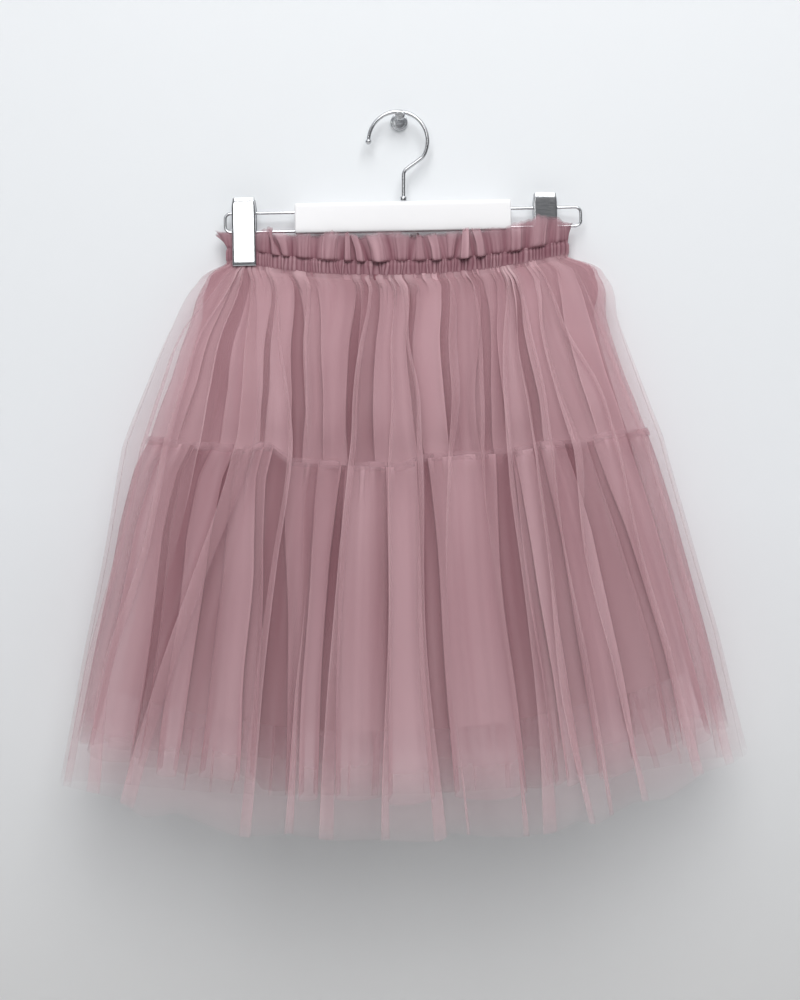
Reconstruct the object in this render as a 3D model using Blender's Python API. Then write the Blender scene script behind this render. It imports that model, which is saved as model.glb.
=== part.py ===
"""A gathered, tiered net skirt hung flat on a clip hanger, which hangs on a small round wall hook.

Sizes are in millimetres and become metres as each mesh is made. +X runs to the right, +Z up, and the
wall is the plane y = 0 with the skirt in front of it. The origin is the middle of the wall hook's back face.

Every cloth layer is a thin wall between two grids of points. A point is placed by three numbers:
the level runs down the skirt, 0 at the waistband's lower edge, 1 at the tier seam and 2 at the overlay's hem,
the lap runs along a front or back panel, 0 at its first side seam and 1 at its second,
and the rise is the distance out from the oval that all the layers share at that level.
All layers use the same laps and levels, so a layer with the larger rise always lies outside the other.
"""
import math

import bmesh
import bpy
import numpy as np
from mathutils import Matrix

MM = 0.001
GAP = 0.3

# Hanging: the plane of the hanger in front of the wall, and the lean of the bar and the waist, right side up
HANGER_Y = -16.0
LEAN = math.radians(1.1)

# Wall hook
PLATE_RADIUS = 8.0
PLATE_THICKNESS = 3.0
PEG_X = 0.9
PEG_RADIUS = 2.2
PEG_HEAD_RADIUS = 4.4
PEG_LENGTH = 23.5

# Hook wire of the hanger
WIRE_RADIUS = 1.85
HOOK_BEND = 27.1
HOOK_TOP_Z = 7.3
HOOK_CENTRE_X = -0.9
STEM_X = 4.1
TIP_RADIUS = 2.9

# Bar, wire loops and clips, measured from the middle of the bar
BAR_CENTRE = (3.6, HANGER_Y, -89.6)
BAR_SIZE = (198.7, 12.0, 27.6)
LOOP_WIRE_RADIUS = 1.4
LOOP_REACH = 163.6
LOOP_UPPER_Z = 5.9
LOOP_LOWER_Z = -11.4
LOOP_CORNER = 5.0
CLIP_WIDTH = 23.0
CLIP_TOP_Z = 19.3
CLIP_BOTTOM_Z = -43.6
CLIP_PLATE = 1.2
CLIP_SADDLE_BOTTOM_Z = -6.0
CLIP_BACK_Y = -9.0
# One row for each clip: name, middle along the bar, front plate's y above and below its bend, and the sides
# of the waist that it holds flat. The right clip's front jaw is inside the waist.
CLIPS = (
    ("clip_left", -146.0, -25.8, -25.8, ("front", "back")),
    ("clip_right", 131.0, -19.3, -16.7, ("back",)),
)
CLIP_BEND_TOP_Z = -13.0
CLIP_BEND_BOTTOM_Z = -17.0

# Cloth
NET_WALL = 1.0
FRILL_WALL = 1.2
BAND_WALL = 4.0
BAND_RIB = 0.9
BAND_RIB_AT_EDGE = 0.4
FRONT_LAPS = 56
BACK_LAPS = 40

# One row for each level: the level, then the reach of the outermost cloth to the left, to the right, at the front,
# at the side seams, and at the back, where it lies against the wall
SECTIONS = np.array((
    (0.00, 159.0, 156.0, -32.0, -16.0, -4.5),
    (0.04, 174.0, 177.0, -40.0, -18.5, -3.0),
    (0.12, 187.0, 190.0, -51.0, -22.0, -2.5),
    (0.36, 207.0, 199.0, -75.0, -32.0, -2.2),
    (0.66, 226.0, 215.0, -99.0, -42.0, -2.0),
    (1.00, 246.0, 235.0, -120.0, -51.0, -2.0),
    (1.33, 262.0, 260.0, -142.0, -60.0, -2.0),
    (1.66, 281.0, 286.0, -163.0, -70.0, -2.0),
    (2.00, 300.0, 311.0, -187.0, -80.0, -2.0),
))

# Height of each line that runs round the skirt: at the side seams, its sag in the middle of the front and
# of the back, and how much higher its right end is than its left
BAND_TOP = (-114.0, 17.0, 11.0, 0.0)
BAND_BOTTOM = (-130.0, 18.0, 12.0, 0.0)
TIER_SEAM = (-297.0, 18.0, 12.0, 0.0)
OVERLAY_HEM = (-590.5, 46.5, 32.0, 11.0)
LOWER_TIER_HEM_LEVEL = 1.885
LINING_HEM_LEVEL = 1.73
TAPE_HEIGHT = 8.0

# Top edge of the frill: place across the waist, from one side seam (-1) to the other (1), and height
FRILL_TOP = np.array((
    (-1.00, -104.0), (-0.94, -101.5), (-0.87, -99.5), (-0.75, -103.0), (-0.50, -107.0),
    (0.00, -109.5),
    (0.50, -107.5), (0.75, -102.5), (0.87, -97.5), (0.94, -99.5), (1.00, -104.0),
))
FRILL_REST = 2.0
FRILL_FLARE = 2.5
FRILL_WAVE = 3.6
FRILL_LEFT_END_FLARE = 8.0
FRILL_RIGHT_END_FLARE = 3.0
FRILL_WANDER = 0.16

# Folds of the front, a row for each: its place across the width at the waist, at the tier seam and at the hem
OVERLAY_FOLDS = np.array((
    (-0.93, -0.86, -0.90),
    (-0.83, -0.66, -0.78),
    (-0.70, -0.52, -0.57),
    (-0.52, -0.40, -0.42),
    (-0.34, -0.29, -0.33),
    (-0.17, -0.17, -0.21),
    (-0.02, -0.04, -0.05),
    (0.14, 0.10, 0.14),
    (0.30, 0.26, 0.28),
    (0.43, 0.40, 0.43),
    (0.56, 0.53, 0.56),
    (0.70, 0.65, 0.68),
    (0.83, 0.77, 0.80),
    (0.93, 0.89, 0.91),
))
LOWER_TIER_FOLDS = np.array((
    (-0.93, -0.94, -0.95),
    (-0.84, -0.86, -0.86),
    (-0.68, -0.71, -0.70),
    (-0.45, -0.47, -0.47),
    (-0.25, -0.25, -0.25),
    (-0.03, -0.03, -0.03),
    (0.22, 0.23, 0.22),
    (0.43, 0.44, 0.43),
    (0.61, 0.62, 0.61),
    (0.79, 0.80, 0.81),
    (0.92, 0.93, 0.94),
))

# Levels at which each layer has a row of points, beside those next to the tier seam
LINING_LEVELS = (0.0, 0.04, 0.12, 0.36, 1.0, LINING_HEM_LEVEL)
UPPER_TIER_LEVELS = (0.0, 0.04, 0.12, 0.36, 0.66)
LOWER_TIER_LEVELS = (1.08, 1.33, 1.66, LOWER_TIER_HEM_LEVEL)

# Numbers of folds, ribs and waves
UPPER_TIER_FRONT_FOLDS = 12
OVERLAY_BACK_FOLDS = 10
UPPER_TIER_BACK_FOLDS = 9
LOWER_TIER_BACK_FOLDS = 8
LINING_FOLDS = 4
BAND_FRONT_RIBS = 24
BAND_BACK_RIBS = 18
FRILL_FRONT_WAVES = 20
FRILL_BACK_WAVES = 15

# Half-heights of the folds once they are full grown, at the front and at the back
LINING_FOLD = {"front": 2.0, "back": 1.0}
TIER_FOLD = {"front": 7.0, "back": 4.0}
OVERLAY_FOLD = {"front": 5.0, "back": 3.0}
LINING_TO_TIER = 3.0
LINING_NARROWER = 0.055
TIER_TO_OVERLAY = 4.0
FOLD_GROWN_LEVEL = 0.9
SEAM_HOLD = 0.75
SEAM_HOLD_LEVELS = 0.12


def clear_scene():
    """Remove what a new file holds."""
    for thing in list(bpy.data.objects):
        bpy.data.objects.remove(thing, do_unlink=True)


def material(name, colour, roughness, metallic=0.0):
    """A Principled material with a linear colour."""
    made = bpy.data.materials.new(name)
    made.use_nodes = True
    shader = made.node_tree.nodes["Principled BSDF"]
    shader.inputs["Base Color"].default_value = (*colour, 1.0)
    shader.inputs["Roughness"].default_value = roughness
    shader.inputs["Metallic"].default_value = metallic
    return made


def add_mesh(name, points_mm, faces, finish):
    """A mesh object from points in millimetres."""
    mesh = bpy.data.meshes.new(name)
    mesh.from_pydata((np.asarray(points_mm) * MM).tolist(), [], faces)
    mesh.materials.append(finish)
    thing = bpy.data.objects.new(name, mesh)
    bpy.context.scene.collection.objects.link(thing)
    return thing


def shade_round(thing, angle=40.0):
    """Smooth shading that keeps the corners sharper than the angle."""
    thing.data.shade_smooth()
    thing.data.set_sharp_from_angle(angle=math.radians(angle))


def sheet_wall(name, outer, inner, finish):
    """Closed wall between two grids of points, rows going down and columns along the panel."""
    rows, columns, _ = outer.shape
    points = np.concatenate((outer.reshape(-1, 3), inner.reshape(-1, 3)))
    index = np.arange(rows * columns).reshape(rows, columns)
    back = index + rows * columns

    def strip(near, far):
        """Two triangles between each pair of neighbours of two rows of points."""
        first = np.stack((near[:-1], far[:-1], far[1:]), axis=-1)
        second = np.stack((near[:-1], far[1:], near[1:]), axis=-1)
        return first.tolist() + second.tolist()

    faces = []
    for row in range(rows - 1):
        faces += strip(index[row], index[row + 1])
        faces += [face[::-1] for face in strip(back[row], back[row + 1])]
    faces += strip(back[0], index[0])
    faces += strip(index[-1], back[-1])
    faces += strip(index[:, 0], back[:, 0])
    faces += strip(back[:, -1], index[:, -1])
    thing = add_mesh(name, points, faces, finish)
    shade_round(thing)
    return thing


# The shared oval and the lines that run round it

def growth(level):
    """How far the folds and the room between the layers have grown, 0 at the waist to 1."""
    return min(level / FOLD_GROWN_LEVEL, 1.0) ** 0.8


def side_room(level):
    """Rise of the overlay at the side seams, where no layer is folded."""
    tight = 3 * NET_WALL + 3 * GAP
    return tight + growth(level) * (LINING_TO_TIER + TIER_TO_OVERLAY)


def full_room(level, side):
    """Rise of the overlay's highest fold in the middle of a panel."""
    folds = LINING_FOLD[side] + TIER_FOLD[side] + OVERLAY_FOLD[side]
    return side_room(level) + 2 * growth(level) * folds


def section(level, side):
    """Middle x, half width, seam y and depth of the oval that the layers share at a level."""
    left, right, front_y, seam_y, back_y = (
        np.interp(level, SECTIONS[:, 0], SECTIONS[:, column]) for column in range(1, 6)
    )
    middle_x = (right - left) / 2
    half_width = (left + right) / 2 - side_room(level)
    reach = seam_y - front_y if side == "front" else back_y - seam_y
    return middle_x, half_width, seam_y, reach - full_room(level, side)


def pinch_power(level):
    """The waist is a flat lens, and the oval below it is round at the sides."""
    return 1.0 + 0.9 * max(0.0, 1.0 - level / 0.5)


def oval(turn, level, side):
    """Points and outward directions of the shared oval. The turn runs from 0 to pi along the panel."""
    middle_x, half_width, seam_y, depth = section(level, side)
    power = pinch_power(level)
    facing = -1.0 if side == "front" else 1.0
    x = middle_x + facing * half_width * np.cos(turn)
    y = seam_y + facing * (depth * np.sin(turn) ** power + GAP / 2)
    step_x = -facing * half_width * np.sin(turn)
    step_y = facing * depth * power * np.sin(turn) ** (power - 1.0) * np.cos(turn)
    length = np.hypot(step_x, step_y)
    out_x = np.where(length > 1e-6, step_y / np.maximum(length, 1e-6), facing * np.sign(np.cos(turn)))
    out_y = np.where(length > 1e-6, -step_x / np.maximum(length, 1e-6), 0.0)
    return x, y, out_x, out_y


def even_turns(laps, level, side):
    """Turns that divide the cloth's own length, some way out from the oval, into equal laps."""
    dense = math.pi * (0.5 - 0.5 * np.cos(np.linspace(0.0, math.pi, 1201)))
    dense = np.clip(dense, 1e-4, math.pi - 1e-4)
    x, y, out_x, out_y = oval(dense, level, side)
    away = side_room(level)
    steps = np.hypot(np.diff(x + away * out_x), np.diff(y + away * out_y))
    length = np.concatenate(([0.0], np.cumsum(steps)))
    turns = np.interp(np.linspace(0.0, length[-1], laps + 1), length, dense)
    turns[0], turns[-1] = 0.0, math.pi
    return turns


def across(turn, side):
    """Place across the width as seen from the front, -1 at the left side seam and 1 at the right."""
    return -np.cos(turn) if side == "front" else np.cos(turn)


def line_z(line, place, side, power=2.2):
    """Height of a line round the skirt, before the lean."""
    side_z, front_sag, back_sag, right_lift = line
    sag = front_sag if side == "front" else back_sag
    return side_z + right_lift / 2 * place - sag * (1.0 - np.abs(place) ** power)


def level_z(level, place, side):
    """Height of a level, between the waistband, the tier seam and the overlay's hem."""
    seam = line_z(TIER_SEAM, place, side)
    if level <= 1.0:
        top = line_z(BAND_BOTTOM, place, side)
        return top + (seam - top) * level
    return seam + (line_z(OVERLAY_HEM, place, side) - seam) * (level - 1.0)


def cloth_points(rows, laps, side, rise_of, drop_of, narrower):
    """Grid of points for a list of levels. rise_of(level, turn, share) gives the rise at each point."""
    share = np.linspace(0.0, 1.0, laps + 1)
    grid = []
    for number, level in enumerate(rows):
        turn = even_turns(laps, level, side)
        x, y, out_x, out_y = oval(turn, level, side)
        rise = rise_of(level, turn, share)
        place = across(turn, side)
        z = level_z(level, place, side) - drop_of(number)
        middle_x = section(level, side)[0]
        x = middle_x + (x + rise * out_x - middle_x) * (1.0 - narrower * growth(level))
        y = y + rise * out_y
        grid.append(np.stack((x, y, z + x * math.tan(LEAN)), axis=-1))
    return np.array(grid)


# Folds

def crest(phase, power):
    """Wave from -1 to 1 with a crest at each whole phase. A small power makes broad crests."""
    return 2.0 * np.abs(np.cos(math.pi * phase)) ** power - 1.0


def followed_phase(folds, level, place):
    """Phase of the wave whose crests lie at the folds' places at this level."""
    places = [np.interp(level, (0.0, 1.0, 2.0), row) for row in folds]
    knots = np.concatenate(([-1.0], places, [1.0]))
    phases = np.concatenate(([-0.5], np.arange(len(folds)), [len(folds) - 0.5]))
    return np.interp(place, knots, phases)


def even_phase(count, share):
    """Phase of evenly spaced folds that start and end in a valley at the side seams."""
    return count * share - 0.5


def fold_size(sizes, side, level, turn):
    """Half-height of the folds, nothing at the side seams and at the waist."""
    return sizes[side] * growth(level) * np.sin(turn) ** 0.7


def seam_hold(level):
    """The sewn tier seam holds the folds down near it."""
    return 1.0 - SEAM_HOLD * math.exp(-(((level - 1.0) / SEAM_HOLD_LEVELS) ** 2))


def lining_rise(side):
    def rise(level, turn, share):
        size = fold_size(LINING_FOLD, side, level, turn)
        return GAP / 2 + NET_WALL + size * (1.0 + crest(even_phase(LINING_FOLDS, share), 2.0))
    return rise


def tier_floor(side, level, turn):
    """Rise of the bottom of the tiers' valleys, just clear of the lining."""
    lining_top = GAP / 2 + NET_WALL + 2 * fold_size(LINING_FOLD, side, level, turn)
    return lining_top + GAP + NET_WALL + growth(level) * LINING_TO_TIER


def tier_wave(side, level, turn, share):
    """The upper tier's gathers above the seam, the lower tier's round columns below it."""
    place = across(turn, side)
    if level > 1.0:
        if side == "front":
            return crest(followed_phase(LOWER_TIER_FOLDS, level, place), 0.8)
        return crest(even_phase(LOWER_TIER_BACK_FOLDS, share), 0.8)
    count = UPPER_TIER_FRONT_FOLDS if side == "front" else UPPER_TIER_BACK_FOLDS
    return crest(even_phase(count, share), 1.6)


def tier_rise(side):
    """At the seam itself both tiers follow the lower tier's wave, so that their edges meet."""
    def rise(level, turn, share):
        size = fold_size(TIER_FOLD, side, level, turn) * seam_hold(level)
        upper = tier_wave(side, min(level, 1.0), turn, share)
        lower = tier_wave(side, max(level, 1.0 + 1e-6), turn, share)
        mix = min(max((level - 0.85) / 0.1, 0.0), 1.0)
        wave = upper * (1.0 - mix) + lower * mix
        return tier_floor(side, level, turn) + size * (1.0 + wave)
    return rise


def overlay_rise(side):
    def rise(level, turn, share):
        tier_top = tier_floor(side, level, turn) + 2 * fold_size(TIER_FOLD, side, level, turn)
        floor = tier_top + GAP + NET_WALL + growth(level) * TIER_TO_OVERLAY
        size = fold_size(OVERLAY_FOLD, side, level, turn)
        if side == "front":
            wave = crest(followed_phase(OVERLAY_FOLDS, level, across(turn, side)), 1.6)
        else:
            wave = crest(even_phase(OVERLAY_BACK_FOLDS, share), 1.6)
        return floor + size * (1.0 + wave)
    return rise


def net_layer(name, rows, side, rise_of, finish, out=0.0, first_drop=GAP, narrower=0.0):
    """One panel of net or lining between two side seams. out moves it off the layer it lies on."""
    laps = FRONT_LAPS if side == "front" else BACK_LAPS

    def drop(number):
        return first_drop if number == 0 else 0.0

    def inner_rise(level, turn, share):
        return rise_of(level, turn, share) + out - NET_WALL

    def outer_rise(level, turn, share):
        return rise_of(level, turn, share) + out

    outer = cloth_points(rows, laps, side, outer_rise, drop, narrower)
    inner = cloth_points(rows, laps, side, inner_rise, drop, narrower)
    return sheet_wall(name, outer, inner, finish)


# Waist

def clip_hold(place, side):
    """1 under a clip that holds this side of the waist flat, and 0 away from it."""
    held = np.zeros_like(place)
    for _, middle_x, _, _, sides in CLIPS:
        if side in sides:
            clip_place = (BAR_CENTRE[0] + middle_x) / SECTIONS[0, 1]
            held = np.maximum(held, np.exp(-(((place - clip_place) / 0.12) ** 6)))
    return held


def band_points(laps, side, rise_rows, z_rows):
    """Grid of points at the waist, where the oval is the same from top to bottom."""
    share = np.linspace(0.0, 1.0, laps + 1)
    turn = even_turns(laps, 0.0, side)
    x0, y0, out_x, out_y = oval(turn, 0.0, side)
    place = across(turn, side)
    grid = []
    for rise_of, z_of in zip(rise_rows, z_rows):
        rise = rise_of(place, share)
        x = x0 + rise * out_x
        y = y0 + rise * out_y
        grid.append(np.stack((x, y, z_of(place) + x * math.tan(LEAN)), axis=-1))
    return np.array(grid)


def waistband(side, finish):
    """Elastic casing: a plain inside and ribs raised in its outer face."""
    ribs = BAND_FRONT_RIBS if side == "front" else BAND_BACK_RIBS

    def rib_rise(fullness):
        def rise(place, share):
            wave = 0.5 + 0.5 * crest(even_phase(ribs, share), 1.4)
            return BAND_WALL + BAND_RIB * fullness * wave * (1.0 - clip_hold(place, side))
        return rise

    def flat_rise(place, share):
        return np.zeros_like(place)

    def height(part):
        def z_of(place):
            top = line_z(BAND_TOP, place, side)
            return top + (line_z(BAND_BOTTOM, place, side) - top) * part
        return z_of

    heights = (height(0.0), height(0.5), height(1.0))
    fullness = (BAND_RIB_AT_EDGE, 1.0, BAND_RIB_AT_EDGE)
    outer = band_points(4 * ribs, side, [rib_rise(part) for part in fullness], heights)
    inner = band_points(4 * ribs, side, (flat_rise,) * 3, heights)
    return sheet_wall("waistband_" + side, outer, inner, finish)


def waist_frill(side, finish):
    """Ruffled heading that stands on the casing and opens outwards at its top edge."""
    waves = FRILL_FRONT_WAVES if side == "front" else FRILL_BACK_WAVES
    parts = (1.0, 0.7, 0.35, 0.0)

    def frill_rise(part, wall):
        def rise(place, share):
            ends = np.where(place < 0, FRILL_LEFT_END_FLARE, FRILL_RIGHT_END_FLARE) * np.abs(place) ** 30
            wander = FRILL_WANDER * np.sin(2 * math.pi * 3.0 * share + 0.8)
            wave = 0.5 + 0.5 * crest(even_phase(waves, share) + wander, 1.6)
            free = 1.0 - clip_hold(place, side) * (1.0 - np.abs(place) ** 30)
            calm = 1.0 - np.abs(place) ** 12
            opened = FRILL_FLARE + FRILL_WAVE * wave * calm
            return FRILL_REST + wall + part * free * (opened + ends)
        return rise

    def height(part):
        def z_of(place):
            foot = line_z(BAND_TOP, place, side) + GAP
            return foot + (np.interp(place, FRILL_TOP[:, 0], FRILL_TOP[:, 1]) - foot) * part
        return z_of

    heights = [height(part) for part in parts]
    outer = band_points(4 * waves, side, [frill_rise(part, FRILL_WALL) for part in parts], heights)
    inner = band_points(4 * waves, side, [frill_rise(part, 0.0) for part in parts], heights)
    return sheet_wall("waist_frill_" + side, outer, inner, finish)


# Hanger and wall hook

def wire(name, points_mm, radius, finish, end_radii=None, parent=None):
    """Round wire through points, as a curve with filled ends."""
    curve = bpy.data.curves.new(name, "CURVE")
    curve.dimensions = "3D"
    curve.bevel_depth = radius * MM
    curve.bevel_resolution = 2
    curve.use_fill_caps = True
    spline = curve.splines.new("POLY")
    spline.points.add(len(points_mm) - 1)
    for number, point in enumerate(points_mm):
        spline.points[number].co = (*(MM * value for value in point), 1.0)
        spline.points[number].radius = end_radii[number] if end_radii else 1.0
    curve.materials.append(finish)
    thing = bpy.data.objects.new(name, curve)
    bpy.context.scene.collection.objects.link(thing)
    thing.parent = parent
    return thing


def arc(centre, radius, start, end, count):
    """Points on an arc in the hanger's plane, angles in degrees from +X towards +Z."""
    angles = np.radians(np.linspace(start, end, count))
    return [(centre[0] + radius * math.cos(a), HANGER_Y, centre[1] + radius * math.sin(a)) for a in angles]


def hanger_hook(finish):
    """Question-mark wire: a ball tip, the bend over the peg, a slant back to the stem, the stem."""
    centre = (HOOK_CENTRE_X, HOOK_TOP_Z - HOOK_BEND)
    bend = arc(centre, HOOK_BEND, 176.0, -34.0, 22)
    slant_x = bend[-1][0] - 11.0
    slant_z = bend[-1][2] - 8.0
    stem_top = slant_z - 7.0
    bar_top = BAR_CENTRE[2] + BAR_SIZE[2] / 2 + GAP
    slant = [(slant_x, HANGER_Y, slant_z), (STEM_X + 1.6, HANGER_Y, slant_z - 3.6)]
    stem = [(STEM_X, HANGER_Y, stem_top), (STEM_X, HANGER_Y, bar_top)]
    tip = [(bend[0][0] - 0.4, HANGER_Y, bend[0][2] - drop) for drop in (5.0, 4.2, 2.2, 1.2)]
    points = tip + bend + slant + stem
    swell = TIP_RADIUS / WIRE_RADIUS
    radii = [0.5 * swell, swell, swell, 1.0] + [1.0] * (len(points) - 4)
    return wire("hanger_hook", points, WIRE_RADIUS, finish, radii)


def tilted_frame():
    """Empty at the middle of the bar that leans with it."""
    frame = bpy.data.objects.new("hanger_frame", None)
    bpy.context.scene.collection.objects.link(frame)
    frame.location = [MM * value for value in BAR_CENTRE]
    frame.rotation_euler = (0.0, -LEAN, 0.0)
    return frame


def hanger_bar(frame, finish):
    """White bar with softened edges."""
    bpy.ops.mesh.primitive_cube_add(size=1.0)
    bar = bpy.context.object
    bar.name = bar.data.name = "hanger_bar"
    bar.data.transform(Matrix.Diagonal((*(MM * side for side in BAR_SIZE), 1.0)))
    bar.data.materials.append(finish)
    soften = bar.modifiers.new("edges", "BEVEL")
    soften.width = 1.5 * MM
    soften.segments = 2
    shade_round(bar)
    bar.parent = frame


def wire_loop(name, sign, frame, finish):
    """Flat loop of wire that leaves the bar's end and comes back to it."""
    start = sign * (BAR_SIZE[0] / 2 + GAP)
    turn_x = LOOP_REACH - LOOP_CORNER
    points = [(start, 0.0, LOOP_UPPER_Z)]
    corners = ((LOOP_UPPER_Z - LOOP_CORNER, 90.0, 0.0), (LOOP_LOWER_Z + LOOP_CORNER, 0.0, -90.0))
    for centre_z, first, last in corners:
        for angle in np.radians(np.linspace(first, last, 5)):
            reach = turn_x + LOOP_CORNER * math.cos(angle)
            points.append((sign * reach, 0.0, centre_z + LOOP_CORNER * math.sin(angle)))
    points.append((start, 0.0, LOOP_LOWER_Z))
    return wire(name, points, LOOP_WIRE_RADIUS, finish, parent=frame)


def clip(name, middle_x, upper_y, lower_y, frame, finish):
    """Spring clip: a front and a back jaw, joined by a saddle that sits under the upper wire."""
    under_wire = LOOP_UPPER_Z - LOOP_WIRE_RADIUS - GAP
    profile = (
        (upper_y, CLIP_TOP_Z), (upper_y, CLIP_BEND_TOP_Z), (lower_y, CLIP_BEND_BOTTOM_Z),
        (lower_y, CLIP_BOTTOM_Z), (lower_y + CLIP_PLATE, CLIP_BOTTOM_Z),
        (lower_y + CLIP_PLATE, CLIP_BEND_BOTTOM_Z), (upper_y + CLIP_PLATE, CLIP_BEND_TOP_Z),
        (upper_y + CLIP_PLATE, CLIP_SADDLE_BOTTOM_Z), (CLIP_BACK_Y, CLIP_SADDLE_BOTTOM_Z),
        (CLIP_BACK_Y, CLIP_BOTTOM_Z), (CLIP_BACK_Y + CLIP_PLATE, CLIP_BOTTOM_Z),
        (CLIP_BACK_Y + CLIP_PLATE, CLIP_TOP_Z), (CLIP_BACK_Y, CLIP_TOP_Z),
        (CLIP_BACK_Y, under_wire), (upper_y + CLIP_PLATE, under_wire), (upper_y + CLIP_PLATE, CLIP_TOP_Z),
    )
    shape = bmesh.new()
    outline = [shape.verts.new((MM * (middle_x - CLIP_WIDTH / 2), MM * (y - HANGER_Y), MM * z)) for y, z in profile]
    face = shape.faces.new(outline)
    raised = bmesh.ops.extrude_face_region(shape, geom=[face])
    corners = [item for item in raised["geom"] if isinstance(item, bmesh.types.BMVert)]
    bmesh.ops.translate(shape, verts=corners, vec=(MM * CLIP_WIDTH, 0.0, 0.0))
    bmesh.ops.recalc_face_normals(shape, faces=shape.faces)
    mesh = bpy.data.meshes.new(name)
    shape.to_mesh(mesh)
    shape.free()
    mesh.materials.append(finish)
    thing = bpy.data.objects.new(name, mesh)
    bpy.context.scene.collection.objects.link(thing)
    soften = thing.modifiers.new("edges", "BEVEL")
    soften.width = 0.35 * MM
    soften.segments = 1
    thing.parent = frame


def turned(name, profile, sides, finish):
    """Solid of revolution about the Y axis from (y, radius) rows, closed by a point or a disc at its ends."""
    points, faces = [], []
    for y, radius in profile:
        for side in range(sides):
            angle = 2 * math.pi * side / sides
            points.append((radius * math.cos(angle), y, radius * math.sin(angle)))
    for ring in range(len(profile) - 1):
        for side in range(sides):
            a = ring * sides + side
            b = ring * sides + (side + 1) % sides
            faces.append((a, b, b + sides, a + sides))
    faces.append(tuple(range(sides))[::-1])
    faces.append(tuple(range((len(profile) - 1) * sides, len(profile) * sides)))
    return add_mesh(name, points, faces, finish)


def wall_hook(finish):
    """Round plate with a headed peg, on which the hanger's wire rests."""
    plate = turned("wall_hook", (
        (0.0, PLATE_RADIUS), (-PLATE_THICKNESS + 0.8, PLATE_RADIUS), (-PLATE_THICKNESS, PLATE_RADIUS - 0.9),
    ), 32, finish)
    head_start = HANGER_Y - WIRE_RADIUS - 0.6
    peg = turned("peg", (
        (-PLATE_THICKNESS / 2, PEG_RADIUS), (head_start, PEG_RADIUS), (head_start - 1.2, PEG_HEAD_RADIUS),
        (-PEG_LENGTH + 1.2, PEG_HEAD_RADIUS), (-PEG_LENGTH, PEG_HEAD_RADIUS - 1.2),
    ), 20, finish)
    peg_z = HOOK_TOP_Z - WIRE_RADIUS - GAP - PEG_RADIUS
    peg.location = (PEG_X * MM, 0.0, peg_z * MM)
    peg.hide_render = True
    peg.display_type = "WIRE"
    join = plate.modifiers.new("peg", "BOOLEAN")
    join.operation = "UNION"
    join.object = peg
    shade_round(plate)


def build():
    clear_scene()
    chrome = material("chrome_plated_steel", (0.80, 0.81, 0.82), 0.12, 1.0)
    lacquer = material("white_lacquer", (0.90, 0.90, 0.90), 0.35)
    sheer_net = material("sheer_net", (0.60, 0.40, 0.43), 0.85)
    tier_net = material("tier_net", (0.48, 0.27, 0.31), 0.85)
    gathered_net = material("gathered_net", (0.40, 0.20, 0.25), 0.85)
    satin = material("lining_satin", (0.38, 0.19, 0.23), 0.55)

    wall_hook(chrome)
    hanger_hook(chrome)
    frame = tilted_frame()
    hanger_bar(frame, lacquer)
    wire_loop("wire_loop_left", -1, frame, chrome)
    wire_loop("wire_loop_right", 1, frame, chrome)
    for name, middle_x, upper_y, lower_y, _ in CLIPS:
        clip(name, middle_x, upper_y, lower_y, frame, chrome)

    tape_above = TAPE_HEIGHT / 2 / (BAND_BOTTOM[0] - TIER_SEAM[0])
    tape_below = TAPE_HEIGHT / 2 / (TIER_SEAM[0] - OVERLAY_HEM[0])
    for side in ("front", "back"):
        waist_frill(side, gathered_net)
        waistband(side, gathered_net)
        net_layer("lining_" + side, LINING_LEVELS, side, lining_rise(side), satin, narrower=LINING_NARROWER)
        net_layer("upper_tier_" + side, (*UPPER_TIER_LEVELS, 1.0 - tape_above, 1.0), side, tier_rise(side), tier_net)
        net_layer("lower_tier_" + side, (1.0, 1.0 + tape_below, *LOWER_TIER_LEVELS), side, tier_rise(side), tier_net)
        net_layer("tier_seam_tape_" + side, (1.0 - tape_above, 1.0, 1.0 + tape_below), side,
                  tier_rise(side), gathered_net, out=GAP + NET_WALL, first_drop=0.0)
        net_layer("overlay_" + side, SECTIONS[:, 0], side, overlay_rise(side), sheer_net)


build()
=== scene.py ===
# %% [markdown]
# # A gathered tulle skirt on a clip hanger
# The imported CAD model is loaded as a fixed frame, and every piece made here sits where a CAD solid says.
# Cloth is far too thin for a solid, so each closed CAD wall is replaced by a single surface of net with
# real folds.

# %% The frame from the CAD
import math

import bpy
import numpy as np
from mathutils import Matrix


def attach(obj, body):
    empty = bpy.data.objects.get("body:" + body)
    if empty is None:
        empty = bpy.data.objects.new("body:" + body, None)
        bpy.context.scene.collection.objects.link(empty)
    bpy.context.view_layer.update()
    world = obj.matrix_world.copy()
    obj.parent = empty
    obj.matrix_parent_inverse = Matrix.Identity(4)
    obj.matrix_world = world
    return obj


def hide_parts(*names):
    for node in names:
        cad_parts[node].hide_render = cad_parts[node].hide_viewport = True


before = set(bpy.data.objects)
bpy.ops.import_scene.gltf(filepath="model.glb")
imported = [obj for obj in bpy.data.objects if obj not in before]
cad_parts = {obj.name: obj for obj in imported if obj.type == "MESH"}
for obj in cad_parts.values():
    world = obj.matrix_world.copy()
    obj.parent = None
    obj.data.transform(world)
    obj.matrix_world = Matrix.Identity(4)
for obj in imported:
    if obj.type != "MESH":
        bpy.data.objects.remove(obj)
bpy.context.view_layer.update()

MM = 0.001


# %% [markdown]
# ## Camera first
# The photograph looks straight at the wall, level with the middle of the skirt, so a long lens on a level
# camera repeats it. The sizes of all pieces were read through this camera.

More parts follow.
